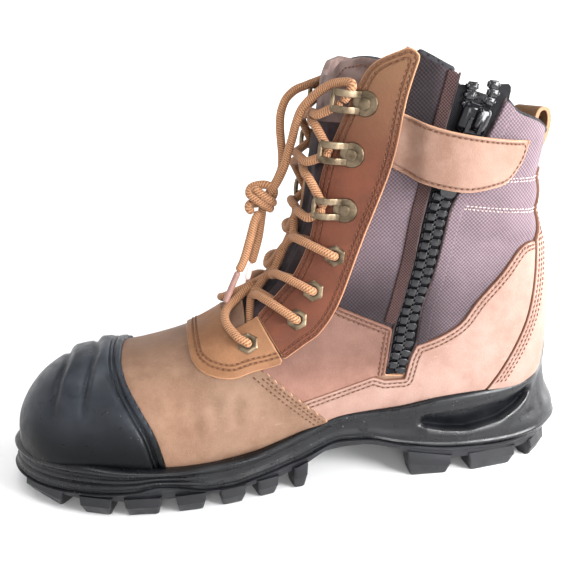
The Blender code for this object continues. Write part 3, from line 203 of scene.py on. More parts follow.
def sections(t):
    """The last's sections at rows t; the row before the first mirrors the second."""
    mirrored = [-v if name in ("inner_w", "outer_w") else v for name, v in zip(LAST_COLUMNS, LAST[1])]
    return through([mirrored] + list(LAST), np.asarray(t, float) + 1)


def last_points(rows, turn, side):
    """Points of the last: turn goes from 0 at the back or underside to pi at the front."""
    s = dict(zip(LAST_COLUMNS, np.moveaxis(rows, -1, 0)))
    width = np.maximum(np.where(side > 0, s["inner_w"], s["outer_w"]), 0.0)
    cosine, sine = np.abs(np.cos(turn)), np.abs(np.sin(turn))
    rear = turn <= math.pi / 2
    power = np.where(rear, 2 / s["back_n"], 2 / s["front_n"])
    reach = cosine ** power
    share = np.where(rear, s["fullest"] * (1 - reach), s["fullest"] + (1 - s["fullest"]) * reach)
    x = s["back_x"] + share * (s["front_x"] - s["back_x"])
    z = s["back_z"] + share * (s["front_z"] - s["back_z"])
    return np.stack([x, s["middle_y"] + side * width * sine ** power, z], axis=-1)


def side_place(x, z):
    """The last's row, and the share of the way to the front, of a point in the side view."""
    low, high = 0.5, len(LAST) - 1.0
    for _ in range(40):
        middle = (low + high) / 2
        back_x, back_z, front_x, front_z = sections(middle)[:4]
        if (x - back_x) * (front_z - back_z) - (z - back_z) * (front_x - back_x) < 0:
            low = middle
        else:
            high = middle
    back_x, back_z, front_x, front_z = sections(low)[:4]
    dx, dz = front_x - back_x, front_z - back_z
    return low, ((x - back_x) * dx + (z - back_z) * dz) / (dx * dx + dz * dz)


def turn_at(x, z):
    """The last's row and turn of a point in the side view."""
    t, share = side_place(x, z)
    s = dict(zip(LAST_COLUMNS, sections(t)))
    if share < s["fullest"]:
        return t, math.acos(max(1 - share / s["fullest"], 0.0) ** (s["back_n"] / 2))
    reach = min(max((share - s["fullest"]) / (1 - s["fullest"]), 0.0), 1.0)
    return t, math.pi / 2 + math.asin(reach ** (s["front_n"] / 2))


def around(t, spread, out):
    """A point off the last: spread is 0 on the ridge, positive to the inner side."""
    step = 0.02

    def at(row, angle):
        return Vector(last_points(sections(row), math.pi - abs(angle), 1.0 if angle >= 0 else -1.0))
    along = at(t + step, spread) - at(t - step, spread)
    across = at(t, spread + step) - at(t, spread - step)
    return at(t, spread) + across.cross(along).normalized() * out


def side_frame(x, z, side):
    """The point on the last's side at x, z and the outward normal there."""
    t, turn = turn_at(x, z)
    point = around(t, side * (math.pi - turn), 0.0)
    return point, (around(t, side * (math.pi - turn), 1.0) - point).normalized()


def on_side(x, z, out, side):
    point, normal = side_frame(x, z, side)
    return point + normal * out


# Columns of the lattice's data
AT = slice(0, 3)
NORMAL = slice(3, 6)
X, Z, RUN, DEPTH = 6, 7, 8, 9


def dense_last():
    """The last as a lattice evenly spaced round each ring: data rows and triangles of each side."""
    t = np.linspace(0, len(LAST) - 1, (len(LAST) - 1) * PER_ROW + 1)
    fine = np.linspace(0, math.pi, 601)
    even = np.linspace(0, 1, AROUND + 1)
    halves = []
    for side in (1.0, -1.0):
        points = last_points(sections(t)[:, None, :], fine[None, :], side)
        girth = np.cumsum(np.linalg.norm(np.diff(points, axis=1, prepend=points[:, :1]), axis=2), axis=1)
        wanted = even[None, :] * girth[:, -1:]
        columns = [[np.interp(w, g, p[:, c]) for w, g, p in zip(wanted, girth, points)] for c in range(3)]
        halves.append(np.stack(columns, -1))
    ring = np.concatenate([halves[0], halves[1][:, -2:0:-1]], axis=1)
    run = np.cumsum(np.linalg.norm(np.diff(ring, axis=0, prepend=ring[:1]), axis=2), axis=0)
    rows, around_count = ring.shape[:2]
    index = np.arange(rows * around_count).reshape(rows, around_count)
    index[0, AROUND + 1:] = index[0, AROUND - 1:0:-1]
    after = np.roll(index, -1, axis=1)
    a, b, c, d = index[:-1], index[1:], after[1:], after[:-1]
    tris = np.stack([np.stack([a, b, c], -1), np.stack([a, c, d], -1)], axis=2)
    points = ring.reshape(-1, 3)
    flat = tris.reshape(-1, 3)
    normal = np.zeros_like(points)
    corner = points[flat]
    face = np.cross(corner[:, 1] - corner[:, 0], corner[:, 2] - corner[:, 0])
    for k in range(3):
        np.add.at(normal, flat[:, k], face)
    normal /= np.maximum(np.linalg.norm(normal, axis=1), 1e-9)[:, None]
    data = np.column_stack([points, normal, points[:, 0], points[:, 2], run.ravel()])
    sides = {"both": flat, "inner": tris[:, :AROUND].reshape(-1, 3), "outer": tris[:, AROUND:].reshape(-1, 3)}
    return data, sides


LATTICE, LATTICE_TRIS = dense_last()


def to_line(line, x, z):
    """Distance from points to a line in the side view."""
    best = np.full(np.shape(x), 1e9)
    for (x0, z0), (x1, z1) in zip(line[:-1], line[1:]):
        dx, dz = x1 - x0, z1 - z0
        f = np.clip(((x - x0) * dx + (z - z0) * dz) / max(dx * dx + dz * dz, 1e-9), 0.0, 1.0)
        best = np.minimum(best, np.hypot(x - x0 - f * dx, z - z0 - f * dz))
    return best


def within(outline, x, z):
    """Distance inside a closed outline in the side view, negative outside."""
    closed = np.vstack([outline, outline[:1]])
    inside = np.zeros(np.shape(x), bool)
    for (x0, z0), (x1, z1) in zip(closed[:-1], closed[1:]):
        crosses = (z0 > z) != (z1 > z)
        at = x0 + (z - z0) * (x1 - x0) / np.where(z1 == z0, 1.0, z1 - z0)
        inside ^= crosses & (x < at)
    return np.where(inside, 1.0, -1.0) * to_line(closed, x, z)


def field(outline):
    """The lattice's distances inside an outline."""
    return within(np.asarray(outline, float), LATTICE[:, X], LATTICE[:, Z])


# Cutting a patch of the lattice
def crossings(data, tris, column, level):
    """Where a column crosses a level: new data rows, and for each crossed triangle its parts."""
    value = data[:, column] - level
    value = np.where(np.abs(value) < 1e-5, 1e-5, value)
    above = value > 0
    count = above[tris].sum(axis=1)
    mixed = tris[(count == 1) | (count == 2)]
    lone_above = above[mixed].sum(axis=1) == 1
    lone = np.where(lone_above[:, None], above[mixed], ~above[mixed]).argmax(axis=1)
    rows = np.arange(len(mixed))
    a, b, c = (mixed[rows, (lone + k) % 3] for k in range(3))
    edges = np.sort(np.concatenate([np.stack([a, b], 1), np.stack([a, c], 1)]), axis=1)
    unique, where = np.unique(edges, axis=0, return_inverse=True)
    where = where.ravel()
    share = (value[unique[:, 0]] / (value[unique[:, 0]] - value[unique[:, 1]]))[:, None]
    added = data[unique[:, 0]] * (1 - share) + data[unique[:, 1]] * share
    added[:, column] = level
    ab, ac = len(data) + where[:len(mixed)], len(data) + where[len(mixed):]
    return added, (a, b, c, ab, ac), lone_above, tris[count == 3], tris[count == 0]


def cut(data, tris, column, level, keep_below):
    """A patch cut along a level of a column; what lies below is kept or dropped."""
    added, (a, b, c, ab, ac), lone_above, above, below = crossings(data, tris, column, level)
    tip = np.stack([a, ab, ac], 1)
    rest = np.concatenate([np.stack([ab, b, c], 1), np.stack([ab, c, ac], 1)])
    twice = np.concatenate([lone_above, lone_above])
    kept = [above, tip[lone_above], rest[~twice]]
    if keep_below:
        kept += [below, tip[~lone_above], rest[twice]]
    faces = np.concatenate(kept)
    used, order = np.unique(faces, return_inverse=True)
    return np.vstack([data, added])[used], order.reshape(-1, 3)


def patch(depth, sides="both", levels=(), more=()):
    """The part of the lattice where depth is positive, cut along its edge and along more levels.

    More columns, each with its own levels to cut along, follow the depth's column.
    """
    data = np.column_stack([LATTICE, depth] + [values for values, _ in more])
    tris = LATTICE_TRIS[sides]
    tris = tris[(depth[tris] > 0).any(axis=1)]
    data, tris = cut(data, tris, DEPTH, 0.0, False)
    for level in levels:
        data, tris = cut(data, tris, DEPTH, level, True)
    for number, (_, own_levels) in enumerate(more):
        for level in own_levels:
            data, tris = cut(data, tris, DEPTH + 1 + number, level, True)
    return data, tris


def chains(data, tris, column, level):
    """The lines along which a column has a level, as arrays of data rows."""
    added, (_, _, _, ab, ac), _, _, _ = crossings(data, tris, column, level)
    links = {}
    for i, j in zip(ab - len(data), ac - len(data)):
        links.setdefault(int(i), []).append(int(j))
        links.setdefault(int(j), []).append(int(i))
    seen, lines = set(), []
    for start in sorted(links, key=lambda i: len(links[i])):
        if start in seen:
            continue
        line = [start]
        seen.add(start)
        while True:
            ahead = [j for j in links[line[-1]] if j not in seen]
            if not ahead:
                break
            line.append(ahead[0])
            seen.add(ahead[0])
        if len(line) > 3:
            lines.append(added[line])
    return lines


# Objects
def row_frame(points):
    return (np.asarray(points, float) - (BOOT_MIDDLE_X, 0.0, 0.0)) * MM


def add_piece(name, points, faces, finishes, replaces=(), body="boot", marks=None, which=None,
              sharp=50.0):
    """A mesh piece that rides on a body; marks are point attributes and which the faces' finishes."""
    mesh = bpy.data.meshes.new(name)
    mesh.from_pydata(row_frame(points).tolist(), [], [tuple(int(i) for i in face) for face in faces])
    for finish in finishes:
        mesh.materials.append(finish)
    if which is not None:
        mesh.polygons.foreach_set("material_index", np.asarray(which, np.int32))
    for key, values in (marks or {}).items():
        values = np.asarray(values, float)
        kind = "FLOAT" if values.ndim == 1 else "FLOAT_VECTOR"
        layer = mesh.attributes.new(key, kind, "POINT")
        layer.data.foreach_set("value" if values.ndim == 1 else "vector", values.ravel())
    mesh.shade_smooth()
    mesh.set_sharp_from_angle(angle=math.radians(sharp))
    obj = bpy.data.objects.new(name, mesh)
    bpy.context.scene.collection.objects.link(obj)
    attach(obj, body)
    if replaces:
        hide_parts(*replaces)
    return obj


# A distance from a sewn edge that is past every row of stitches
UNSEWN = 20.0


def shell_faces(tris, count):
    """Faces of a closed shell over a patch: outside, inside and the walls between them."""
    edges = np.concatenate([tris[:, [0, 1]], tris[:, [1, 2]], tris[:, [2, 0]]])
    keys, back = edges[:, 0] * count + edges[:, 1], edges[:, 1] * count + edges[:, 0]
    rim = edges[~np.isin(keys, back)]
    walls = np.stack([rim[:, 1], rim[:, 0], rim[:, 0] + count, rim[:, 1] + count], 1)
    return [*tris.tolist(), *(tris[:, ::-1] + count).tolist(), *walls.tolist()], len(tris), len(walls)


def shell(name, cut_patch, outside, inside, finishes, replaces=(), which=None, lined=None,
          sewn=None, walled=0):
    """A closed sheet over a patch of the last, between two offsets from it.

    which gives the finish of each face outside, lined of each face inside and walled that of the cut edge;
    sewn is each point's distance from a sewn edge.
    """
    data, tris = cut_patch
    over = data[:, AT] + data[:, NORMAL] * np.broadcast_to(outside, len(data))[:, None]
    under = data[:, AT] + data[:, NORMAL] * np.broadcast_to(inside, len(data))[:, None]
    faces, skin, walls = shell_faces(tris, len(data))
    row = np.full(len(data), UNSEWN) if sewn is None else sewn
    marks = {"edge": np.tile(data[:, DEPTH], 2), "row": np.tile(row, 2)}
    middles = data[tris].mean(axis=1)
    outer = which(middles) if which else np.zeros(skin, int)
    inner = lined(middles) if lined else np.full(skin, len(finishes) - 1)
    order = np.concatenate([outer, inner, np.full(walls, walled)])
    return add_piece(name, np.vstack([over, under]), faces, finishes, replaces, marks=marks, which=order)


def rounded(depth, full, foot, radius):
    """Offsets that round a sheet's edge over, from foot at the edge to full."""
    return foot + (full - foot) * np.sqrt(1 - (1 - np.clip(depth / radius, 0.0, 1.0)) ** 2)


# Finishes
class Finish:
    """A procedural material under construction; sockets take numbers, colours or other sockets."""

    def __init__(self, name, roughness=0.6, metallic=0.0, **sockets):
        self.material = bpy.data.materials.new(name)
        self.material.use_nodes = True
        self.tree = self.material.node_tree
        self.shader = self.tree.nodes["Principled BSDF"]
        self.place = self.tree.nodes.new("ShaderNodeTexCoord").outputs["Object"]
        self.put(self.shader, "Roughness", roughness)
        self.put(self.shader, "Metallic", metallic)
        for key, value in sockets.items():
            self.put(self.shader, key.replace("_", " "), value)

    def put(self, node, socket, value):
        entry = node.inputs[socket]
        if isinstance(value, bpy.types.NodeSocket):
            self.tree.links.new(value, entry)
        elif isinstance(value, tuple) and len(value) == 3 and entry.type == "RGBA":
            entry.default_value = (*value, 1.0)
        else:
            entry.default_value = value

    def add(self, kind, inputs, output=0, **settings):
        node = self.tree.nodes.new(kind)
        for key, value in settings.items():
            setattr(node, key, value)
        for key, value in inputs.items():
            self.put(node, key, value)
        return node.outputs[output]

    def math(self, operation, a, b=0.0):
        return self.add("ShaderNodeMath", {0: a, 1: b}, operation=operation)

    def total(self, a, share_a, b, share_b):
        """The sum of two values, each taken by its share."""
        return self.math("ADD", self.math("MULTIPLY", a, share_a), self.math("MULTIPLY", b, share_b))

    def between(self, share, first, second):
        """A value that goes from first to second with the share."""
        return self.total(share, second, self.math("SUBTRACT", 1.0, share), first)

    def times(self, color, strength):
        return self.add("ShaderNodeVectorMath", {0: color, "Scale": strength}, operation="SCALE")

    def noise(self, scale, detail=3.0, rough=0.55, stretch=None):
        place = self.place
        if stretch:
            place = self.add("ShaderNodeMapping", {"Vector": place, "Scale": stretch})
        inputs = {"Vector": place, "Scale": scale, "Detail": detail, "Roughness": rough}
        return self.add("ShaderNodeTexNoise", inputs)

    def cells(self, scale):
        return self.add("ShaderNodeTexVoronoi", {"Vector": self.place, "Scale": scale}, "Distance")

    def span(self, value, low, high, to_low=0.0, to_high=1.0):
        inputs = {"Value": value, "From Min": low, "From Max": high, "To Min": to_low, "To Max": to_high}
        return self.add("ShaderNodeMapRange", inputs, interpolation_type="SMOOTHSTEP")

    def mix(self, share, first, second):
        node = self.tree.nodes.new("ShaderNodeMix")
        node.data_type = "RGBA"
        for socket, value in ((0, share), (6, first), (7, second)):
            self.put(node, socket, value)
        return node.outputs[2]

    def split(self, vector):
        """A vector's x, y and z."""
        node = self.tree.nodes.new("ShaderNodeSeparateXYZ")
        self.put(node, 0, vector)
        return node.outputs

    def axes(self):
        """The piece's own x, y and z."""
        return self.split(self.place)

    def mark(self, name, output="Fac"):
        return self.add("ShaderNodeAttribute", {}, output, attribute_name=name)

    def hump(self, value, middle, half):
        """1 at middle, falling smoothly to 0 at half a width away."""
        return self.span(self.math("ABSOLUTE", self.math("SUBTRACT", value, middle)), 0.0, half, 1.0, 0.0)

    def color(self, value):
        self.put(self.shader, "Base Color", value)

    def rough(self, value):
        self.put(self.shader, "Roughness", value)

    def bump(self, height, distance):
        """Lay a height, 0 to 1, over the bumps made so far; distance is in millimetres."""
        node = self.tree.nodes.new("ShaderNodeBump")
        node.inputs["Distance"].default_value = distance * MM
        self.put(node, "Height", height)
        before = self.shader.inputs["Normal"].links
        if before:
            self.tree.links.new(before[0].from_socket, node.inputs["Normal"])
        self.tree.links.new(node.outputs[0], self.shader.inputs["Normal"])


def leather(name, dark, light, raw, raw_share=0.5, rows=(), collar_color=None, painted_shading=()):
    """Oiled nubuck: cloudy colour, fine grain, a raw edge and a groove under each row of stitches, darkened
    with painted shade.

    collar_color is the colour that it turns to near the collar;
    each of painted_shading makes it darker or lighter along an axis, as painted shade and painted light.
    """
    f = Finish(name, 0.62, Specular_IOR_Level=0.2)
    cloud = f.noise(24.0, 3.0)
    patchy = f.noise(110.0, 4.0)
    fine = f.noise(900.0, 2.0)
    shade = f.total(cloud, 0.55, patchy, 0.33)
    shade = f.math("ADD", shade, f.math("MULTIPLY", fine, 0.12))
    color = f.mix(f.span(shade, 0.32, 0.68), dark, light)
    if collar_color:
        high = f.span(f.axes()[2], 0.165, 0.225)
        color = f.mix(f.math("MULTIPLY", high, f.span(cloud, 0.3, 0.6, 0.6, 1.0)), color, collar_color)
    # Painted shade and painted light, in bands along the piece's own axes
    for axis, low, high, at_low, at_high in painted_shading:
        color = f.times(color, f.span(f.axes()[axis], low, high, at_low, at_high))
    scuff = f.span(f.noise(160.0, 5.0, 0.7, (0.35, 1.0, 1.6)), 0.6, 0.74)
    color = f.mix(f.math("MULTIPLY", scuff, 0.3), color, tuple(1.2 * c + 0.02 for c in light))
    edge, sewn = f.mark("edge"), f.mark("row")
    for row in rows:
        # Each stitch groove is pressed in and darkened with painted shade
        groove = f.hump(sewn, row, 0.8)
        color = f.mix(f.math("MULTIPLY", groove, 0.3), color, tuple(0.5 * c for c in dark))
        f.bump(f.math("SUBTRACT", 1.0, groove), 0.45)
    color = f.mix(f.span(edge, 0.3, 0.75, raw_share, 0.0), color, raw)
    f.color(color)
    f.rough(f.span(patchy, 0.3, 0.7, 0.5, 0.72))
    f.bump(f.cells(1300.0), 0.07)
    f.bump(f.noise(420.0, 5.0, 0.65), 0.16)
    return f.material


def weave(name, dark, light, pitch, painted_lighting=False):
    """Plain woven cloth; its threads run level and upright on every side.

    painted_lighting paints light and shade by height ahead of and behind the zip, and shade on the outer side.
    """
    f = Finish(name, 0.8, Specular_IOR_Level=0.15)
    axes = f.axes()
    facing = f.split(f.add("ShaderNodeNewGeometry", {}, "Normal"))
    waves = [f.math("SINE", f.math("MULTIPLY", axis, 2 * math.pi / (pitch * MM))) for axis in axes]
    level = f.between(f.span(f.math("ABSOLUTE", facing[1]), 0.4, 0.7), waves[1], waves[0])
    knot = f.math("ADD", f.math("MULTIPLY", f.math("MULTIPLY", level, waves[2]), 0.5), 0.5)
    # The weave's pattern in colour: thread tops painted lighter as painted highlight, the gaps darker as
    # painted shade
    tone = f.total(knot, 0.7, f.noise(90.0, 3.0), 0.3)
    color = f.mix(f.span(tone, 0.2, 0.85), dark, light)
    if painted_lighting:
        # Painted light and painted shade by height ahead of and behind the zip, and painted shade on the outer
        # side
        ahead = f.span(axes[0], -0.085, -0.06)
        foot, head = f.span(axes[2], 0.1, 0.138, 0.22, 1.0), f.span(axes[2], 0.155, 0.195, 1.0, 0.14)
        rear = f.span(axes[2], 0.095, 0.135, 0.8, 1.25)
        strength = f.between(ahead, rear, f.math("MULTIPLY", foot, head))
        color = f.times(color, f.between(f.span(axes[1], -0.01, 0.01), 0.7, strength))
    f.color(color)
    f.bump(knot, 0.2)
    f.bump(f.noise(1500.0, 2.0), 0.06)
    return f.material


def lining():
    f = Finish("mesh_lining", 0.9, Specular_IOR_Level=0.15)
    holes = f.cells(520.0)
    f.color(f.mix(f.span(holes, 0.15, 0.6), (0.005, 0.005, 0.006), (0.028, 0.027, 0.03)))
    f.bump(holes, 0.5)
    return f.material


def rubber(name, dark, light, gloss, dust, shine, low=None):
    """Moulded rubber or foam with a faint skin texture, dulled patches and a few specks of dust.

    low is the colour that it darkens to near the sole, as painted shade; the mark "dull" takes its shine away.
    """
    f = Finish(name, gloss)
    f.put(f.shader, "Specular IOR Level", f.span(f.mark("dull"), 0.0, 0.8, shine, 0.02))
    cloud = f.noise(45.0, 4.0)
    color = f.mix(f.span(cloud, 0.35, 0.68), dark, light)
    # Painted shade: darker towards the bottom
    if low:
        color = f.mix(f.span(f.axes()[2], 0.03, 0.066, 1.0, 0.0), color, low)
    dots = f.span(f.cells(330.0), 0.04, 0.09, 1.0, 0.0)
    specks = f.math("MULTIPLY", dots, f.span(f.noise(60.0, 2.0), 0.56, 0.66))
    color = f.mix(f.math("MULTIPLY", specks, dust), color, (0.42, 0.41, 0.39))
    f.color(color)
    f.rough(f.span(f.noise(150.0, 4.0), 0.3, 0.7, gloss - 0.07, gloss + 0.1))
    f.bump(f.noise(1100.0, 3.0), 0.04)
    return f.material


def metal(name, dark, light):
    f = Finish(name, 0.36, 1.0)
    f.color(f.mix(f.span(f.noise(160.0, 3.0), 0.3, 0.7), dark, light))
    f.rough(f.span(f.noise(300.0, 3.0), 0.3, 0.7, 0.3, 0.42))
    f.bump(f.noise(500.0, 3.0), 0.04)
    return f.material


def plastic(name, color, gloss):
    f = Finish(name, gloss, Coat_Weight=0.1, Coat_Roughness=0.08, Specular_IOR_Level=0.32)
    f.color(f.mix(f.noise(300.0, 3.0), color, tuple(1.7 * c + 0.004 for c in color)))
    f.bump(f.noise(700.0, 3.0), 0.03)
    return f.material


def cord_finish(name, dark, light, pitch):
    """Round braided lace: ribs wind along it, drawn from the cord's own length and turn."""
    f = Finish(name, 0.75, Specular_IOR_Level=0.2, Sheen_Weight=0.05, Sheen_Roughness=0.4)
    run, cosine, sine = f.split(f.mark("braid", "Vector"))
    turn = f.math("MULTIPLY", run, 2 * math.pi / pitch)
    ribs = []
    for sign in (1.0, -1.0):
        a = f.math("MULTIPLY", f.math("SINE", turn), cosine)
        b = f.math("MULTIPLY", f.math("MULTIPLY", f.math("COSINE", turn), sine), sign)
        ribs.append(f.math("ADD", f.math("MULTIPLY", f.math("ADD", a, b), 0.5), 0.5))
    rib = f.total(ribs[0], 0.7, ribs[1], 0.3)
    tone = f.total(rib, 0.75, f.noise(260.0, 3.0), 0.25)
    f.color(f.mix(f.span(tone, 0.15, 0.75), dark, light))
    f.bump(rib, 0.35)
    f.bump(f.noise(2200.0, 2.0), 0.08)
    return f.material


def suede(name, dark, light):
    f = Finish(name, 0.9, Specular_IOR_Level=0.15, Sheen_Weight=0.06, Sheen_Roughness=0.35)
    f.color(f.mix(f.span(f.noise(70.0, 4.0), 0.35, 0.65), dark, light))
    f.bump(f.noise(1700.0, 4.0, 0.7), 0.14)
    f.bump(f.noise(240.0, 3.0), 0.15)
    return f.material


RAW_EDGE = (0.5, 0.27, 0.15)
DARK_EDGE = (0.1, 0.035, 0.016)
# The vamp's leather is painted darker towards its rear and its top, under the apron, as painted shade
VAMP_LEATHER = leather("vamp_leather", (0.16, 0.086, 0.052), (0.262, 0.16, 0.108), RAW_EDGE, 0.8,
                       painted_shading=((0, 0.04, 0.072, 0.76, 1.0), (2, 0.06, 0.075, 1.0, 0.85)))
# The quarter's leather is painted lighter low down and a little darker higher up, as painted light and shade
TAN_LEATHER = leather("tan_leather_sewn", (0.1, 0.047, 0.034), (0.158, 0.085, 0.065), DARK_EDGE, 0.6,
                      (1.9, 4.1), painted_shading=((2, 0.056, 0.08, 1.55, 0.95),))
PALE_LEATHER = leather("pale_leather", (0.215, 0.122, 0.094), (0.3, 0.198, 0.165), DARK_EDGE, 0.8,
                       (2.2, 4.4))
APRON_LEATHER = leather("apron_leather", (0.143, 0.064, 0.028), (0.238, 0.117, 0.06), RAW_EDGE, 0.5,
                        (4.0, 6.0))
STAY_LEATHER = leather("stay_leather", (0.068, 0.02, 0.01), (0.126, 0.04, 0.021), RAW_EDGE, 0.7, (1.9, 4.1),
                       (0.13, 0.064, 0.032))
STRAP_LEATHER = leather("strap_leather", (0.155, 0.08, 0.052), (0.24, 0.148, 0.114), RAW_EDGE, 0.4, (1.9,))
# The brown cloth carries painted light and painted shade by height and side
FABRIC = weave("brown_weave", (0.062, 0.044, 0.051), (0.15, 0.11, 0.126), 2.0, True)
BINDING = weave("brown_binding", (0.012, 0.006, 0.006), (0.06, 0.032, 0.03), 1.6)
ZIP_CLOTH = weave("black_tape", (0.003, 0.003, 0.004), (0.012, 0.012, 0.014), 0.9)
LINING = lining()
# The guard's rubber is painted darker near the sole, as painted shade
GUARD_RUBBER = rubber("guard_rubber", (0.016, 0.018, 0.022), (0.032, 0.036, 0.044), 0.34, 0.5, 0.13,
                      (0.002, 0.0023, 0.0028))
MIDSOLE_FOAM = rubber("midsole_foam", (0.003, 0.0033, 0.0042), (0.007, 0.0075, 0.009), 0.3, 0.8, 0.3)
SOLE_RUBBER = rubber("sole_rubber", (0.004, 0.0044, 0.0055), (0.01, 0.0105, 0.013), 0.42, 0.8, 0.35)
INSOLE_CLOTH = suede("insole_cloth", (0.012, 0.012, 0.013), (0.035, 0.034, 0.035))
BRASS = metal("antique_brass", (0.075, 0.055, 0.035), (0.21, 0.16, 0.105))
BLACK_PLASTIC = plastic("black_plastic_gloss", (0.002, 0.002, 0.003), 0.13)
LACE = cord_finish("lace_braid", (0.14, 0.06, 0.027), (0.4, 0.208, 0.11), 1.25)
TIP_BROWN = plastic("tip_brown", (0.16, 0.085, 0.07), 0.3)
TIP_PALE = plastic("tip_pale", (0.55, 0.45, 0.43), 0.3)
THREAD = cord_finish("sewing_thread", (0.07, 0.024, 0.011), (0.17, 0.068, 0.034), 0.8)
PALE_THREAD = cord_finish("pale_thread", (0.42, 0.3, 0.27), (0.75, 0.62, 0.58), 0.8)
TONGUE_SUEDE = suede("tongue_suede", (0.095, 0.062, 0.055), (0.19, 0.133, 0.12))
TONGUE_CLOTH = suede("tongue_cloth", (0.018, 0.012, 0.013), (0.05, 0.034, 0.037))
LOOP_LEATHER = leather("loop_leather", (0.085, 0.042, 0.02), (0.17, 0.09, 0.046), RAW_EDGE, 0.5)
PIPING = suede("zip_piping", (0.02, 0.013, 0.013), (0.06, 0.04, 0.04))


# Rings of points, each ring of the same count
def ring_faces(levels, count):
    faces = []
    for i in range(levels - 1):
        for k in range(count):
            after = (k + 1) % count
            faces.append((i * count + k, i * count + after, (i + 1) * count + after, (i + 1) * count + k))
    return faces


def lathe(rings):
    """Rings joined in turn."""
    return np.vstack(rings), ring_faces(len(rings), len(rings[0]))


def capped(rings):
    """Rings joined in turn, with a face across each end."""
    points, faces = lathe(rings)
    count = len(rings[0])
    return points, faces + [tuple(range(count))[::-1], tuple(range(len(points) - count, len(points)))]


def grid_tris(rows, columns):
    """Triangles of a sheet of points in rows and columns."""
    index = np.arange(rows * columns).reshape(rows, columns)
    quads = np.stack([index[:-1, :-1], index[1:, :-1], index[1:, 1:], index[:-1, 1:]], -1).reshape(-1, 4)
    return np.concatenate([quads[:, [0, 1, 2]], quads[:, [0, 2, 3]]])


# Sewing: every row of stitches is a line on a patch, dotted with short threads
SEWN = {}


def sew(cut_patch, level, out, thread, where=None, pitch=2.9, length=2.1, column=DEPTH):
    """Lay a row of stitches along a level of a patch's column, where a test of x and z allows."""
    for line in chains(*cut_patch, column, level):
        sew_line(line, out, thread, where, pitch, length)


def sew_line(line, out, thread, where=None, pitch=2.9, length=2.1):
    points = line[:, AT] + line[:, NORMAL] * out
    run = np.cumsum(np.linalg.norm(np.diff(points, axis=0, prepend=points[:1]), axis=1))
    for s in np.arange(pitch / 2, run[-1], pitch):
        def at(values, place):
            return np.array([np.interp(place, run, column) for column in values.T])
        along = at(points, s + 0.6) - at(points, s - 0.6)
        x, z = at(line[:, [X, Z]], s)
        if (where is None or where(x, z)) and np.linalg.norm(along) > 0.3:
            SEWN.setdefault(thread, []).append((at(points, s), along, at(line[:, NORMAL], s), length))


def thread_template():
    """One stitch as rings along x: a thread that dips into its two holes."""
    rings = ((-0.5, 0.3, -0.45), (-0.36, 0.9, 0.0), (0.0, 1.0, 0.18), (0.36, 0.9, 0.0), (0.5, 0.3, -0.45))
    sides = 6
    points = []
    for x, radius, z in rings:
        for k in range(sides):
            turn = 2 * math.pi * k / sides
            points.append((x, 0.34 * radius * math.cos(turn), z + 0.3 * radius * math.sin(turn)))
    points, faces = capped(np.array(points).reshape(len(rings), sides, 3))
    return points, [face[::-1] for face in faces]


def make_stitches():
    shape, shape_faces = thread_template()
    for thread, rows in SEWN.items():
        middle, along, normal = (np.array([row[i] for row in rows]) for i in range(3))
        length = np.array([row[3] for row in rows])
        along /= np.linalg.norm(along, axis=1)[:, None]
        across = np.cross(normal, along)
        across /= np.linalg.norm(across, axis=1)[:, None]
        up = np.cross(along, across)
        points = middle[:, None, :] + along[:, None, :] * (shape[None, :, :1] * length[:, None, None])
        points = points + across[:, None, :] * shape[None, :, 1:2] + up[:, None, :] * shape[None, :, 2:3]
        faces = [tuple(i + n * len(shape) for i in face) for n in range(len(rows)) for face in shape_faces]
        braid = np.column_stack([shape[:, 0] * 2.1, np.ones(len(shape)), np.zeros(len(shape))])
        finish = bpy.data.materials[thread]
        add_piece("stitches_" + thread, points.reshape(-1, 3), faces, [finish],
                  marks={"braid": np.tile(braid, (len(rows), 1))})


# Padding at the back of the collar: quilted seams between rolls, each a line of x, z
QUILT = (((0, 135), (25, 135), (75, 140)), ((0, 149.5), (25, 150), (72, 155)),
         ((0, 167), (26, 167), (72, 169)), ((0, 190), (30, 197), (72, 222)))
QUILT_SEWN = ((24.0, 70.0), (26.0, 54.0))
ROLL_HIGH = 2.3
ROLLS_FROM, ROLLS_TO = (14.0, 26.0), (46.0, 70.0)
# The back is tucked in above the heel: how deep, where along z it sets in and eases off, where along x it ends
BACK_TUCK = 5.5
TUCK_FROM, TUCK_EASES, TUCK_TO = (128.0, 150.0), (170.0, 196.0), (15.0, 34.0)
TUCK_EASED = 0.6
COLLAR_TOP = ((-20, 189), (14, 190), (30, 196), (45, 201), (51, 206), (61, 213), (80, 221),
              (94, 228), (103, 232.5))
FABRIC_AREA = ((138, 96), (110, 84), (97, 76), (86, 72), (66, 82), (46, 108), (30, 121), (-30, 124), (-30, 260),
               (106, 260), (110, 215), (113, 176), (125, 139))
# Padding inside the back of the collar: how thick, where it ends ahead and where it begins above the heel
PAD_THICK, PAD_AHEAD, PAD_FOOT = 1.6, (44.0, 66.0), (130.0, 145.0)
SEAM_OFF = 0.8
GAP = 0.35
SKIN = -0.3
EDGE_LEVELS = (0.25, 0.6, 1.1)


def quilt_height(number, x):
    return np.interp(x, *np.array(QUILT[number], float).T)


def swell_padding():
    x, z = LATTICE[:, X], LATTICE[:, Z]
    high = np.zeros(len(LATTICE))
    for number in range(len(QUILT) - 1):
        foot, head = quilt_height(number, x), quilt_height(number + 1, x)
        share = np.clip((z - foot) / (head - foot), 0.0, 1.0)
        high += ROLL_HIGH * np.sqrt(np.sin(math.pi * share).clip(0.0))
    high *= (1 - ease(x, *ROLLS_TO)) * ease(x, *ROLLS_FROM)
    tuck = ease(z, *TUCK_FROM) * (1 - TUCK_EASED * ease(z, *TUCK_EASES))
    high -= BACK_TUCK * tuck * (1 - ease(x, *TUCK_TO))
    LATTICE[:, AT] += LATTICE[:, NORMAL] * high[:, None]


def line_under(table, xs, drop):
    return [(x, float(height_at(table, x)) - drop) for x in xs]


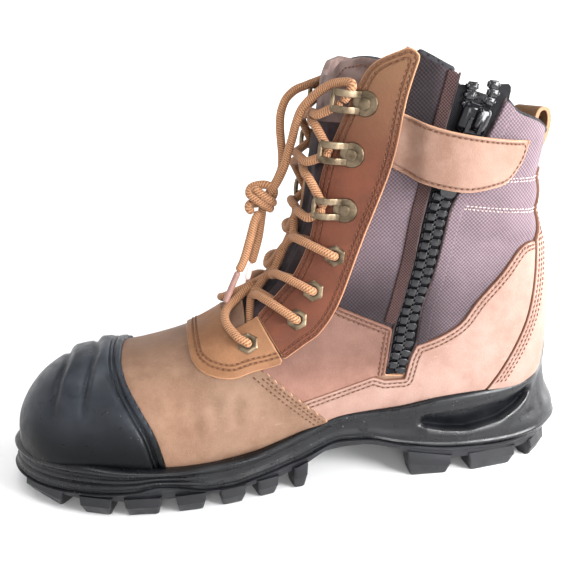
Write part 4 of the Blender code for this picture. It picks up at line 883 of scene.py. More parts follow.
def joined_lines(*lines):
    return np.vstack([np.asarray(line, float).reshape(-1, 2) for line in lines])


def area_above(table, first, final):
    """The outline of all that lies above a line in the side view."""
    return joined_lines(smooth_line(table), ((first, FAR_ABOVE), (final, FAR_ABOVE)))


COLLAR_ABOVE = area_above(COLLAR_TOP, 122, -20)
OUTER_ABOVE = area_above(OUTER_COLLAR, 150, 60)


def overlay(name, depth, sides, finish, replaces, full, rows=(), along=None, sewn=None):
    """A sheet laid over the upper, its edge rounded over, with rows of stitches along one line."""
    away = depth if along is None else to_line(along, LATTICE[:, X], LATTICE[:, Z])
    piece = patch(depth, sides, EDGE_LEVELS, [(away, rows)])
    data = piece[0]
    allowed = np.array([sewn is None or sewn(x, z) for x, z in data[:, [X, Z]]])
    out = rounded(data[:, DEPTH], full, 0.45, 0.8)
    away = np.where(allowed, data[:, DEPTH + 1], UNSEWN)
    shell(name, piece, out, SKIN, [finish], replaces, sewn=away)
    for row in rows:
        sew(piece, row + 0.001, full + 0.03, THREAD.name, sewn, column=DEPTH + 1)


def make_upper():
    x, y, z = LATTICE[:, X], LATTICE[:, 1], LATTICE[:, Z]
    depth = z - height_at(SEAT, x) - GAP
    throat = joined_lines(smooth_line(THROAT_EDGE), THROAT_AHEAD)
    slot = joined_lines(smooth_line(ZIP_FRONT), ZIP_SLOT_TOP, smooth_line(ZIP_REAR)[::-1])
    depth = np.minimum(depth, -field(throat))
    depth = np.minimum(depth, -field(COLLAR_ABOVE))
    depth = np.minimum(depth, np.where(y > 0, -field(slot), -field(OUTER_ABOVE)))
    seams = [(z - quilt_height(number, x), ()) for number in (1, 2)]
    piece = patch(depth, "both", (0.4, 1.2), seams)
    data = piece[0]
    area = np.array(FABRIC_AREA, float)

    def regions(middles):
        return (within(area, middles[:, X], middles[:, Z]) > 0).astype(int)
    pad = (1 - ease(data[:, X], *PAD_AHEAD)) * ease(data[:, Z], *PAD_FOOT)
    outside = rounded(data[:, DEPTH], 0.0, -0.9, 1.2)
    shell("upper_leather_and_cloth", piece, outside, -WALL - PAD_THICK * pad, [VAMP_LEATHER, FABRIC, LINING],
          ["upper"], regions)
    for number, (rear, front) in enumerate(QUILT_SEWN):
        for off in (-SEAM_OFF, SEAM_OFF):
            sew(piece, off, 0.05, PALE_THREAD.name, lambda x, z: rear < x < front, 2.2, 1.7,
                DEPTH + 1 + number)


# Creases where the vamp bends: ends as x, z, then depth and half width
CREASES = ((207, 43, 210, 53, 0.45, 2.6), (198, 44, 200, 56, 0.5, 2.8), (188, 45, 187, 56, 0.4, 2.8),
           (214, 56, 196, 61, 0.3, 3.6), (228, 62, 212, 67, 0.25, 3.4))


def creased(x, z):
    """Soft troughs along the creases, with a low ridge beside each."""
    deep = np.zeros(len(x))
    for x0, z0, x1, z1, depth, half in CREASES:
        run = np.array([x1 - x0, z1 - z0], float)
        share = np.clip(((x - x0) * run[0] + (z - z0) * run[1]) / (run @ run), 0.0, 1.0)
        across = np.hypot(x - x0 - share * run[0], z - z0 - share * run[1])
        ridge = 0.45 * np.exp(-((across - 2.2 * half) / half) ** 2)
        deep += depth * (np.exp(-(across / half) ** 2) - ridge)
    return deep


# The vamp's sheet, the lip that stands up along its seam and ends under the apron, and its rows of stitches
VAMP_OUT, VAMP_LIP, VAMP_LIP_WIDE, VAMP_LIP_TOP = 0.5, 2.1, 10.0, (65.5, 70.5)
VAMP_ROWS = (1.9, 3.7, 6.2)
VAMP_EDGE_TOP = 70.0


def make_vamp():
    seam = smooth_line(VAMP_SEAM)
    foot = line_under(SOLE_TOP, (290, 248, 212, 179, 149), 3.0)
    outline = joined_lines(seam, ((180, 100), (300, 100), (300, 20)), foot)
    depth = field(outline)
    to_seam = to_line(seam, LATTICE[:, X], LATTICE[:, Z])
    piece = patch(depth, "both", (), [(to_seam, (0.3, 0.7, 1.2, 6.0))])
    data = piece[0]
    near = data[:, DEPTH + 1]
    lip = VAMP_LIP * np.exp(-(near / VAMP_LIP_WIDE) ** 2) * (1 - ease(data[:, Z], *VAMP_LIP_TOP))
    outside = VAMP_OUT + lip * rounded(near, 1.0, 0.0, 0.8) - creased(data[:, X], data[:, Z])
    data[:, DEPTH] = np.where(data[:, Z] < VAMP_EDGE_TOP, near, UNSEWN)
    shell("vamp_sheet", piece, outside, SKIN, [VAMP_LEATHER])
    for row in VAMP_ROWS:
        out = 0.55 + 2.05 * math.exp(-(row / VAMP_LIP_WIDE) ** 2)
        sew(piece, row, out, THREAD.name, lambda x, z: z < 67 and x > 130, column=DEPTH + 1)


# The guard's rim and grooves: distance from its rear edge, how far out it stands
GUARD_PROFILE = ((0.0, 0.7), (0.35, 1.7), (1.0, 2.25), (2.4, 2.25), (2.9, 1.8), (3.3, 0.8), (4.0, 0.8),
                 (4.4, 2.0), (4.9, 2.2), (5.3, 1.2), (5.9, 1.2), (6.5, 2.4), (8.0, 3.0), (900.0, 3.0))
# Where the guard's two plates step up across the toe: z, x in the side view
GUARD_STEPS = (((48, 276.5), (55, 275.8), (63, 274.5), (71, 270.1)),
               ((44, 262.5), (57, 261.6), (68, 259.0), (75, 254.0)))
STEP_HIGH = 2.0
STEP_GROOVE = 1.2
STEP_TAIL = 11.0
STEP_LEVELS = (-4.5, -3.2, -2.2, -1.2, 0.0, 1.2, 2.4)
STEPS_FADE = (47.0, 64.0)


def make_guard():
    rear_line = smooth_line(GUARD_REAR)
    x, z = LATTICE[:, X], LATTICE[:, Z]
    outline = joined_lines(rear_line[3:], ((240, 95), (318, 95)), line_under(SOLE_TOP, (318, 285, 248), 3.0))
    depth = field(outline)
    rear = to_line(joined_lines(rear_line, ((234, 95),)), x, z)
    steps = []
    for rows in GUARD_STEPS:
        heights, places = np.array(rows, float).T
        steps.append((np.interp(z, heights, places) - x, STEP_LEVELS))
    piece = patch(depth, "both", (), [(rear, [g for g, _ in GUARD_PROFILE[1:-1]])] + steps)
    data = piece[0]
    outside = np.interp(data[:, DEPTH + 1], *np.array(GUARD_PROFILE).T)
    fade = ease(data[:, Z], *STEPS_FADE)
    for number in (0, 1):
        behind = data[:, DEPTH + 2 + number]
        rise = STEP_HIGH * ease(behind, -2.4, 1.6) * np.exp(-np.maximum(behind, 0.0) / STEP_TAIL)
        outside += fade * (rise - STEP_GROOVE * np.exp(-((behind + 2.7) / 1.2) ** 2))
    shell("toe_guard_rubber", piece, outside, SKIN, [GUARD_RUBBER], ["toe_guard"])


def above_sole(x, z):
    return z > height_at(SOLE_TOP, x) + 4


# A strip beside each edge of the zip: its lower and upper end, how far across it reaches, finish, thickness
ZIP_STRIPS = (("front", ZIP_FRONT, 92.0, 226.0, (6.0, 1.5), BINDING, 0.9),
              ("rear", ZIP_REAR, 80.0, 214.0, (-6.0, -2.0), FABRIC, 1.2))
PIPING_FOOT, PIPING_TOP = 68.0, (221.0, 209.0)


def make_overlays():
    throat = smooth_line(THROAT_EDGE)
    apron_end = (len(throat) - 1) // (len(THROAT_EDGE) - 1) * APRON_POINTS
    front, stay_rear = smooth_line(APRON_FRONT), smooth_line(EYESTAY_REAR)
    lower, foot = smooth_line(LOWER_QUARTER), smooth_line(FABRIC_REAR_FOOT)
    apron = joined_lines(front, throat[:apron_end + 1], ((172.6, 94),))
    overlay("apron_leather_sheet", field(apron), "both", APRON_LEATHER, ["apron"], 1.9,
            (4.0, 6.0), joined_lines(front, ((211, 95),)))
    stay = joined_lines(throat[apron_end:], STAY_CORNER, stay_rear[::-1])
    for side in ("inner", "outer"):
        depth = field(stay) if side == "inner" else np.minimum(field(stay), -field(OUTER_ABOVE))
        overlay("eyestay_sheet_" + side, depth, side, STAY_LEATHER, ["eyestay_" + side], 2.0,
                (1.9, 4.1), stay)
    heel_line = line_under(SOLE_TOP, (137, 122, 104, 86, 66, 47), 3.0)
    behind = joined_lines(smooth_line(BACKSTAY_FRONT[:6])[1:] + (0.5, 0.0), foot[::-1])
    ahead = joined_lines(lower[::-1], ((155, 51), (149, 46)), heel_line)
    zip_foot = ((93, 73), (95.6, 60.5), (106.5, 60.5))
    counters = {"inner": (joined_lines(behind, zip_foot, ahead),
                          joined_lines(foot[::-1], zip_foot, lower[::-1], ((160, 49),))),
                "outer": (joined_lines(behind[:-1], OUTER_SEAM, ahead),
                          joined_lines(foot[::-1], OUTER_SEAM, lower[::-1]))}
    beside_zip = smooth_line(ZIP_FRONT)[:6][::-1] + (0.3, 0.0)
    quarter_top = joined_lines(FABRIC_FRONT_FOOT, beside_zip)
    quarter = joined_lines(quarter_top, lower[::-1] + (0.0, -0.6), ((162, 57.5), (174, 69.6), (164, 76)),
                           smooth_line(EYESTAY_REAR[:4])[1:-1] + (2.5, 1.8))
    for side in ("inner", "outer"):
        overlay("quarter_sheet_" + side, field(quarter), side, TAN_LEATHER,
                ["quarter_" + side], 1.2, (1.9, 4.1), quarter_top)
        outline, sewn_line = counters[side]
        overlay("counter_sheet_" + side, field(outline), side, PALE_LEATHER,
                ["counter_" + side], 1.7, (2.2, 4.4), sewn_line, above_sole)
    back_line = smooth_line(BACKSTAY_FRONT)
    backstay = joined_lines(back_line, ((-20, 172), (-20, 44)))
    overlay("backstay_sheet", field(backstay), "both", PALE_LEATHER, ["backstay"], 2.0,
            (2.0, 4.2, 6.4), back_line, lambda x, z: above_sole(x, z) and x > 9)


def make_zip_edges():
    """The strips sewn beside the zip, kept below the collar's edge, and the piping along its slot."""
    below_collar = -field(COLLAR_ABOVE) - 0.4
    for name, rows, foot, top, aside, finish, full in ZIP_STRIPS:
        heights = np.linspace(foot, top, 30)
        edge = np.column_stack([edge_x(rows, heights), heights])
        depth = np.minimum(field(joined_lines(edge, edge[::-1] + aside)), below_collar)
        overlay("zip_strip_" + name, depth, "inner", finish, (), full)
    for name, rows, top in (("front", ZIP_FRONT, PIPING_TOP[0]), ("rear", ZIP_REAR, PIPING_TOP[1])):
        heights = np.linspace(PIPING_FOOT, top, 24)
        cord = Parts()
        cord.add(tube([on_side(float(edge_x(rows, z)), z, 0.35, 1.0) for z in heights], 0.6, 8)[0])
        cord.make("zip_piping_" + name, [PIPING])


def strap_out(x):
    reach = np.clip(np.abs(x - STRAP_CROWN_X) / STRAP_CROWN_HALF, 0.0, 1.0)
    crown = STRAP_CROWN * np.cos(math.pi / 2 * reach).clip(0.0) ** STRAP_CROWN_POWER
    return OVERLAY_IN + crown * (1 - ease(x, *STRAP_CROWN_FADE))


# The lining's rolled edge along the collar: side, x range, table of x and z, radius, how high it stands
COLLAR_ROLLS = ((1.0, 15.5, 54.0, COLLAR_TOP, 2.3, -0.6), (1.0, 80.0, 99.0, COLLAR_TOP, 2.3, -0.6),
                (-1.0, 15.5, 58.0, COLLAR_TOP, 5.0, 4.5), (-1.0, 62.0, 122.0, OUTER_COLLAR, 4.0, 2.0))


def make_collar_rolls():
    rolls = Parts()
    for side, first, final, rows, radius, rise in COLLAR_ROLLS:
        line = smooth_line(rows)
        xs = np.linspace(first, final, 14)
        places = [(float(x), float(np.interp(x, line[:, 0], line[:, 1]))) for x in xs]
        rolls.add(tube([on_side(x, z + rise, -0.1 - radius, side) for x, z in places], radius, 16)[0])
    rolls.make("collar_lining_roll", [LINING])


def make_strap():
    rows = np.array(STRAP, float)
    rows[0] += STRAP_TUCK
    outline = joined_lines(smooth_line(rows[:, :2]), smooth_line(rows[:, 2:])[::-1])
    piece = patch(field(outline), "inner", EDGE_LEVELS)
    data = piece[0]
    under = strap_out(data[:, X])
    thick = STRAP_THICK - STRAP_THINNED * ease(data[:, X], *STRAP_THIN_FADE)
    outside = under + thick * rounded(data[:, DEPTH], 1.0, 0.5, 0.7)
    shell("strap_sheet", piece, outside, under, [STRAP_LEATHER, LINING], ["strap"],
          sewn=data[:, DEPTH])
    for line in chains(*piece, DEPTH, 1.9):
        line[:, AT] += line[:, NORMAL] * strap_out(line[:, X])[:, None]
        sew_line(line, STRAP_THICK + 0.05, THREAD.name, lambda x, z: x < STRAP_CROWN_FADE[1])


def tongue_top(middles):
    return (middles[:, Z] > TONGUE_CLOTH_TOP).astype(int)


def make_tongue():
    rear = smooth_line(THROAT_EDGE[4:10]) - (TONGUE_TUCK, 0.0)
    outline = joined_lines(TONGUE_FOOT, rear, TONGUE_HEAD, TONGUE_AHEAD)
    piece = patch(field(outline), "both", (0.5, 1.2, 2.0), [(LATTICE[:, Z] - TONGUE_CLOTH_TOP, (0.0,))])
    data = piece[0]
    z, depth = data[:, Z], data[:, DEPTH]
    swell = TONGUE_SWELL * np.sin(data[:, RUN] / TONGUE_WAVE) * ease(depth, 1.0, 6.0) * (1 - ease(z, *SWELL_TO))
    pressed = 1 - ease(np.abs(data[:, 1]), *PRESSED_ACROSS)
    base = TONGUE_OUT - TONGUE_PRESSED * pressed * ease(z, *PRESSED_FROM) * (1 - ease(z, *PRESSED_TO))
    shell("tongue_sheet", piece, base + rounded(depth, 0.0, -1.4, 2.0) + swell, base - TONGUE_THICK,
          [TONGUE_CLOTH, TONGUE_SUEDE, LINING], ["tongue"], tongue_top,
          lambda middles: np.where(tongue_top(middles), 1, 2), walled=1)
    sew(piece, 4.0, TONGUE_OUT + 0.05, THREAD.name, lambda x, z: z > 204, 2.2, 1.7)


# The sole
def plan_loop(per_span=14):
    """The sole's edge in plan as a smooth closed loop, with its outward directions."""
    inner = [(x, y) for x, y, _ in SOLE_PLAN]
    outer = [(x, y) for x, _, y in SOLE_PLAN[1:-1]]
    rows = np.array(inner + outer[::-1], float)
    wrapped = np.vstack([rows[-2:], rows, rows[:3]])
    points = through(wrapped, np.linspace(2, 2 + len(rows), len(rows) * per_span, endpoint=False))
    along = np.roll(points, -1, axis=0) - np.roll(points, 1, axis=0)
    out = np.column_stack([-along[:, 1], along[:, 0]]) / np.linalg.norm(along, axis=1)[:, None]
    middle = points.mean(axis=0)
    return points, out * np.sign(((points - middle) * out).sum())


LOOP, LOOP_OUT = plan_loop()


def ring_at(grow, z):
    flat = LOOP + LOOP_OUT * np.broadcast_to(grow, len(LOOP))[:, None]
    return np.column_stack([flat, np.broadcast_to(z, len(LOOP))])


def stack_faces(levels, count):
    """Faces of rings stacked upwards, with strips across the lowest and the highest."""
    faces = ring_faces(levels, count)
    for first, flip in ((0, True), ((levels - 1) * count, False)):
        for k in range(count // 2):
            corners = [k, k + 1, count - k - 1, (count - k) % count]
            corners = [first + c for c in dict.fromkeys(corners)]
            if len(corners) > 2:
                faces.append(tuple(corners[::-1] if flip else corners))
    return faces


# The midsole's side from the parting line to the lip: share of its height, how far it stands out
MIDSOLE_SIDE = ((0.0, -0.3), (0.05, 0.5), (0.1, -0.2), (0.2, 0.2), (0.42, -0.5), (0.62, -0.6), (0.76, 0.2),
                (0.88, 0.8), (0.95, 0.6), (1.0, -0.5))
MIDSOLE_LEVELS = 60
HEEL_BULGE = 5.0
BULGE_TO, PLATE_BULGE_TO = (-5.0, 34.0), (-5.0, 24.0)
# Grooves and a lip round the toe, and where along x they set in
TOE_GROOVES, TOE_GROOVE_DEPTH, TOE_LIP, TOE_FROM = (0.34, 0.55), 0.75, 1.3, (196.0, 222.0)
LEAF_FROM, LEAF_TO, SILL_HIGH = (13.0, 18.0), (82.0, 87.0), 0.7
# The lip's top inwards: how far in, how far down
MIDSOLE_RIM = ((1.6, -0.35), (2.6, -0.1), (7.5, 0.5), (7.5, 9.0))


def midsole_side(share, x, z):
    """How far the midsole's side stands out of its plan at a level, and its share of the leaf's depth."""
    grow = height_at(MIDSOLE_SIDE, share) - height_at(MIDSOLE_LEAN, x) * share
    at_toe = ease(x, *TOE_FROM)
    for groove in TOE_GROOVES:
        grow = grow - TOE_GROOVE_DEPTH * at_toe * np.exp(-((share - groove) / 0.035) ** 2)
    xs, lows, highs = np.array(HEEL_LEAF, float).T
    low, high = np.interp(x, xs, lows), np.interp(x, xs, highs)
    open_here = ease(x, *LEAF_FROM) * (1 - ease(x, *LEAF_TO))
    sunk = ease(z, low - 0.9, low + 1.4) * (1 - ease(z, low + 1.0, high + LEAF_BROW)) * open_here
    sill = np.exp(-((z - low + 3.0) / 2.4) ** 2) * open_here
    lip = TOE_LIP * at_toe * np.exp(-((share - 0.85) / 0.15) ** 2)
    heel = HEEL_BULGE * (1 - ease(x, *BULGE_TO)) * np.exp(-((share - 0.08) / 0.25) ** 2)
    return grow - LEAF_DEPTH * sunk + SILL_HIGH * sill + lip + heel, sunk


def make_midsole():
    x = LOOP[:, 0]
    foot, top = height_at(PARTING, x) + GAP / 2, height_at(SOLE_TOP, x)
    rings, dull = [], []
    for share in np.linspace(0.0, 1.0, MIDSOLE_LEVELS):
        z = foot + (top - foot) * share
        grow, sunk = midsole_side(share, x, z)
        rings.append(ring_at(grow, z))
        dull.append(sunk)
    lean = height_at(MIDSOLE_LEAN, x)
    for inset, drop in MIDSOLE_RIM:
        rings.append(ring_at(-lean - inset, top - drop))
        dull.append(np.zeros(len(LOOP)))
    add_piece("midsole_moulding", np.vstack(rings), stack_faces(len(rings), len(LOOP)), [MIDSOLE_FOAM],
              ["midsole"], marks={"dull": np.concatenate(dull)})


def rounded_ring(corners, radius, per_corner=4):
    """Corners of a flat quad with each one rounded off."""
    corners = np.asarray(corners, float)
    points = []
    for i, corner in enumerate(corners):
        before, after = corners[i - 1] - corner, corners[(i + 1) % len(corners)] - corner
        a = corner + before / np.linalg.norm(before) * min(radius, np.linalg.norm(before) * 0.45)
        b = corner + after / np.linalg.norm(after) * min(radius, np.linalg.norm(after) * 0.45)
        for f in np.linspace(0, 1, per_corner):
            points.append((1 - f) ** 2 * a + 2 * f * (1 - f) * corner + f * f * b)
    return np.array(points)


# A lug from root to foot: share of its height, how far its outer face stands out, how far its sides draw in
LUG_SIDE = ((0.0, -0.8, -2.8), (0.12, -0.3, -2.4), (0.44, 1.0, -1.5), (0.5, 0.8, -1.2), (0.93, -0.3, 0.3),
            (1.0, -0.9, 0.9))
LUG_ROOT_RISE = 3.0


def lug(corners, outward, root, foot):
    """A lug as stacked rounded quads; outward is each corner's direction out of the sole."""
    corners, outward = np.asarray(corners, float), np.asarray(outward, float)
    middle = corners.mean(axis=0)
    rings = []
    for share, out, draw in LUG_SIDE:
        inwards = middle - corners
        inwards /= np.linalg.norm(inwards, axis=1)[:, None]
        flat = rounded_ring(corners + outward * out + inwards * draw, 1.6)
        z = root + (foot - root) * share
        rings.append(np.column_stack([flat, np.repeat(z, len(flat) // 4)]))
    return capped(rings[::-1])


def edge_at(x, side):
    """A point of the sole's edge and its outward direction there."""
    half = np.where(LOOP[:, 1] * side > 0)[0]
    order = half[np.argsort(LOOP[half, 0])]
    place = np.array([x, np.interp(x, LOOP[order, 0], LOOP[order, 1])])
    out = np.array([np.interp(x, LOOP[order, 0], LOOP_OUT[order, c]) for c in (0, 1)])
    return place, out / np.linalg.norm(out)


# The outsole plate's side from below: share of its height, how far it stands out
PLATE_SIDE = ((0.0, -2.0), (0.12, -0.8), (0.4, -0.2), (0.7, 0.0), (0.82, 0.9), (0.92, 1.1), (1.0, 0.3))


def make_outsole():
    x = LOOP[:, 0]
    top, under = height_at(PARTING, x) - GAP / 2, height_at(PLATE_UNDER, x)
    rings = []
    for share, grow in PLATE_SIDE:
        heel = 0.5 * HEEL_BULGE * (1 - ease(x, *PLATE_BULGE_TO)) * share
        rings.append(ring_at(grow + heel, under + (top - under) * share))
    points, faces = [np.vstack(rings)], stack_faces(len(rings), len(LOOP))
    count = len(points[0])
    blocks = []
    for front, rear, deep in EDGE_LUGS:
        for side in (1.0, -1.0):
            (a, out_a), (b, out_b) = edge_at(front, side), edge_at(rear, side)
            blocks.append(([a, b, b - out_b * deep, a - out_a * deep], [out_a, out_b, (0, 0), (0, 0)]))
    for front, rear, half in MIDDLE_LUGS:
        flat = [(0.0, 0.0)] * 4
        blocks.append(([(front, half), (rear, half), (rear, -half), (front, -half)], flat))
    for corners, outward in blocks:
        xs = np.array([corner[0] for corner in corners])
        root = height_at(PLATE_UNDER, xs) + LUG_ROOT_RISE
        shape, shape_faces = lug(corners, outward, root, height_at(LUG_FOOT, xs))
        area = np.cross(np.subtract(corners[1], corners[0]), np.subtract(corners[2], corners[0]))
        if area < 0:
            shape_faces = [face[::-1] for face in shape_faces]
        faces += [tuple(i + count for i in face) for face in shape_faces]
        points.append(shape)
        count += len(shape)
    add_piece("outsole_moulding", np.vstack(points), faces, [SOLE_RUBBER], ["outsole"],
              sharp=34.0)


INSOLE_FROM, INSOLE_TO, INSOLE_THICK, INSOLE_INSET = 8.0, 300.0, 4.0, 0.9
INSOLE_ROWS, INSOLE_COLUMNS = 120, 25


def make_insole():
    """The footbed: a padded sheet that dishes up at its edges."""
    stations = np.linspace(INSOLE_FROM, INSOLE_TO, INSOLE_ROWS)
    inside = LATTICE[:, AT] - LATTICE[:, NORMAL] * (WALL + INSOLE_INSET)
    level = height_at(SEAT, inside[:, 0]) + INSOLE_THICK
    halves = []
    for side in (1.0, -1.0):
        near = np.where((np.abs(inside[:, 2] - level) < 1.2) & ((inside[:, 1] - 2.0) * side > 0))[0]
        order = near[np.argsort(inside[near, 0])]
        edge = np.interp(stations, inside[order, 0], inside[order, 1])
        halves.append(np.convolve(np.pad(edge, 2, "edge"), np.full(5, 0.2), "valid"))
    shares = np.linspace(0.0, 1.0, INSOLE_COLUMNS)
    width = (halves[0] - halves[1])[:, None]
    to_end = np.minimum(stations - INSOLE_FROM, INSOLE_TO - stations)
    ends = np.sqrt(np.clip(to_end / 14.0, 0.0, 1.0))[:, None]
    y = (halves[0] + halves[1])[:, None] / 2 + width * (shares[None, :] - 0.5) * (0.35 + 0.65 * ends)
    x = np.repeat(stations[:, None], INSOLE_COLUMNS, 1)
    seat = height_at(SEAT, x) + GAP
    rise = INSOLE_THICK * (0.8 + 0.5 * np.abs(2 * shares - 1)[None, :] ** 3)
    sheet = np.stack([x, y, seat + rise], -1).reshape(-1, 3)
    base = np.stack([x, y, seat], -1).reshape(-1, 3)
    faces, _, _ = shell_faces(grid_tris(INSOLE_ROWS, INSOLE_COLUMNS), len(sheet))
    insole = add_piece("insole_pad", np.vstack([sheet, base]), faces, [INSOLE_CLOTH], ["insole"])


# Small parts are made in their own frame and set on the last
def placed(point, out, along):
    out = Vector(out).normalized()
    along = Vector(along)
    x_axis = (along - out * along.dot(out)).normalized()
    y_axis = out.cross(x_axis)
    return np.array([x_axis, y_axis, out]), np.array(point)


def set_at(points, where):
    axes, origin = where
    return np.asarray(points, float) @ axes + origin


class Parts:
    """Meshes gathered into one piece."""

    def __init__(self):
        self.points, self.faces, self.which, self.braid, self.count = [], [], [], [], 0

    def add(self, shape, where=None, which=0, braid=None):
        points, faces = shape
        points = np.asarray(points, float) if where is None else set_at(points, where)
        self.points.append(points)
        self.faces += [tuple(int(i) + self.count for i in face) for face in faces]
        self.which += [which] * len(faces)
        self.braid.append(np.zeros((len(points), 3)) if braid is None else braid)
        self.count += len(points)

    def make(self, name, finishes, replaces=(), body="boot"):
        marks = {"braid": np.vstack(self.braid), "edge": np.full(self.count, 9.0)}
        points = np.vstack(self.points)
        return add_piece(name, points, self.faces, finishes, replaces, body, marks, self.which, 40.0)


def disc_rings(profile):
    """Rings of radius and height; a share of hexagon makes a ring six-sided."""
    count = 48
    turn = np.linspace(0, 2 * math.pi, count, endpoint=False)
    six = math.cos(math.pi / 6) / np.cos(np.mod(turn, math.pi / 3) - math.pi / 6)
    rings = []
    for radius, height, hexagon in profile:
        reach = radius * (1 - hexagon + hexagon * six)
        rings.append(np.column_stack([reach * np.cos(turn), reach * np.sin(turn), np.full(count, height)]))
    return rings


def rounded_block(low, high, bevel):
    """A block with rounded upright edges and a rounded top."""
    (x0, y0, z0), (x1, y1, z1) = low, high
    rings = []
    for inset, z in ((0.0, z0), (0.0, z1 - bevel), (0.3 * bevel, z1 - 0.35 * bevel), (bevel, z1)):
        left, right, rear, front = x0 + inset, x1 - inset, y0 + inset, y1 - inset
        flat = rounded_ring(((right, front), (left, front), (left, rear), (right, rear)), bevel)
        rings.append(np.column_stack([flat, np.full(len(flat), z)]))
    return capped(rings)


# How far apart a cord's rings are
CORD_STEP = 0.9


def tube(points, radius, sides=18):
    """A round-ended cord along a smooth line: its mesh, braid marks, middle line and length."""
    line = smooth_line(np.array([tuple(p) for p in points]), 24)
    run = np.cumsum(np.linalg.norm(np.diff(line, axis=0, prepend=line[:1]), axis=1))
    stops = np.linspace(0, run[-1], max(int(run[-1] / CORD_STEP), 4))
    centres = np.column_stack([np.interp(stops, run, line[:, c]) for c in range(3)])
    along = np.gradient(centres, axis=0)
    along /= np.linalg.norm(along, axis=1)[:, None]
    side = np.cross(along[0], (0.3, 0.2, 0.9))
    side /= np.linalg.norm(side)
    turn = np.linspace(0, 2 * math.pi, sides, endpoint=False)
    rings, braid = [], []
    for i, centre in enumerate(centres):
        side = side - along[i] * np.dot(side, along[i])
        side /= np.linalg.norm(side)
        other = np.cross(along[i], side)
        from_end = min(stops[i], run[-1] - stops[i])
        taper = math.sqrt(max(1 - (1 - min(from_end / radius, 1.0)) ** 2, 0.02))
        ring = np.cos(turn)[:, None] * side + np.sin(turn)[:, None] * other
        rings.append(centre + radius * taper * ring)
        braid.append(np.column_stack([np.full(sides, stops[i]), np.cos(4 * turn), np.sin(4 * turn)]))
    return capped(rings), np.vstack(braid), centres, run[-1]


def flat_bar(path, across, half, thick):
    """A flat strip bent along a path of reach and rise, at one place across."""
    line = smooth_line(path, 5)
    along = np.gradient(line, axis=0)
    along /= np.linalg.norm(along, axis=1)[:, None]
    ring = rounded_ring(((half, thick), (-half, thick), (-half, -thick), (half, -thick)), 0.45)
    rings = []
    for (reach, rise), (a, b) in zip(line, along):
        rings.append(np.column_stack([reach - ring[:, 1] * b, across + ring[:, 0], rise + ring[:, 1] * a]))
    return capped(rings)


EYELETS = ((179, 82), (153, 95), (144, 110), (133, 129))
EYELET_PROFILE = ((2.5, -1.0, 0.0), (2.5, 0.5, 0.0), (2.8, 0.95, 0.0), (3.4, 1.05, 0.0), (4.2, 0.95, 0.4),
                  (5.3, 0.8, 1.0), (5.8, 0.4, 1.0), (5.8, -0.4, 1.0))
HOOKS = ((128, 153, 0.0), (125, 181, 0.0), (120, 206, 0.5))
HOOK_DISC = ((6.4, -0.3, 0.0), (6.4, 0.6, 0.0), (6.0, 1.1, 0.0), (4.4, 1.35, 0.0), (3.1, 1.4, 0.0),
             (2.9, 2.0, 0.0), (2.2, 2.3, 0.0), (0.2, 2.4, 0.0))
# Each of a hook's two prongs rises from the disc and curls over the lace: reach, rise
HOOK_PRONG = ((2.2, 1.2), (4.6, 2.0), (7.0, 4.4), (9.6, 5.7), (12.4, 5.9), (14.6, 5.2), (15.4, 4.0))
HOOK_PRONG_AT, HOOK_PRONG_HALF, HOOK_PRONG_THICK = 3.9, 1.75, 0.65
HOOK_BAR = ((15.0, -5.2, 4.4), (15.2, -2.0, 4.9), (15.2, 2.0, 4.9), (15.0, 5.2, 4.4))
HOOK_BAR_R = 1.3
HOOK_LEAN = (1.0, 0.0, 0.1)
STAY_TOP = 2.0


def make_fittings():
    for side, sign in (("inner", 1.0), ("outer", -1.0)):
        for number, (x, z) in enumerate(EYELETS, 1):
            point, out = side_frame(x, z, sign)
            where = placed(point + out * STAY_TOP, out, (1.0, 0.0, 0.7))
            parts = Parts()
            parts.add(lathe(disc_rings(EYELET_PROFILE)), where)
            # A dark disc of the lining's finish plugs the eyelet's hole: the dark lining below and painted
            # shade down the hole
            parts.add(lathe(disc_rings(((2.7, 0.15, 0.0), (0.1, 0.05, 0.0)))), where, 1)
            name = "%s_%d" % (side, number)
            parts.make("eyelet_ring_" + name, [BRASS, LINING], ["eyelet_" + name])
        for number, (x, z, deeper) in enumerate(HOOKS, 1):
            point, out = side_frame(x, z, sign)
            where = placed(point + out * (STAY_TOP - deeper), out, HOOK_LEAN)
            parts = Parts()
            parts.add(lathe(disc_rings(HOOK_DISC)), where)
            for across in (-HOOK_PRONG_AT, HOOK_PRONG_AT):
                parts.add(flat_bar(HOOK_PRONG, across, HOOK_PRONG_HALF, HOOK_PRONG_THICK), where)
            parts.add(tube(HOOK_BAR, HOOK_BAR_R, 12)[0], where)
            name = "%s_%d" % (side, number)
            parts.make("hook_brass_" + name, [BRASS], ["hook_" + name])


# The zip
ZIP_FOOT_Z, CHAIN_TOP_Z, ZIP_TOP_Z = 66.0, 188.0, 212.0
TOOTH_PITCH = 5.1
# A tooth's nose, body and leg: the low corner, the high corner and how round each is
TOOTH = (((-0.8, -0.9, -0.9), (0.7, 0.9, 1.35), 0.4), ((0.3, -2.0, -0.9), (4.5, 2.0, 1.55), 0.5),
         ((4.0, -1.3, -0.9), (5.4, 1.3, 0.9), 0.3))
TAPE_OUT, TAPE_IN = -0.5, -1.7
OPEN_TAPE = 6.0
SLIDER = (69.5, 198.5)
SLIDER_SIZE = (15.0, 15.0, 4.2)
BRIDGE = ((0.0, -3.4, 2.6), (0.0, -3.2, 5.2), (0.0, -0.6, 6.3), (0.0, 3.4, 6.3), (0.0, 5.2, 5.4),
          (0.0, 5.2, 2.6))
BRIDGE_R = 1.3
PULL_PIN = (0.0, 0.9, 4.6)
PULL_LENGTH, PULL_HALF, PULL_THICK, PULL_HOLE = 40.0, 4.2, 1.0, (2.2, 6.5)
GRIP_RIDGES = (-30.0, -32.5, -35.0)


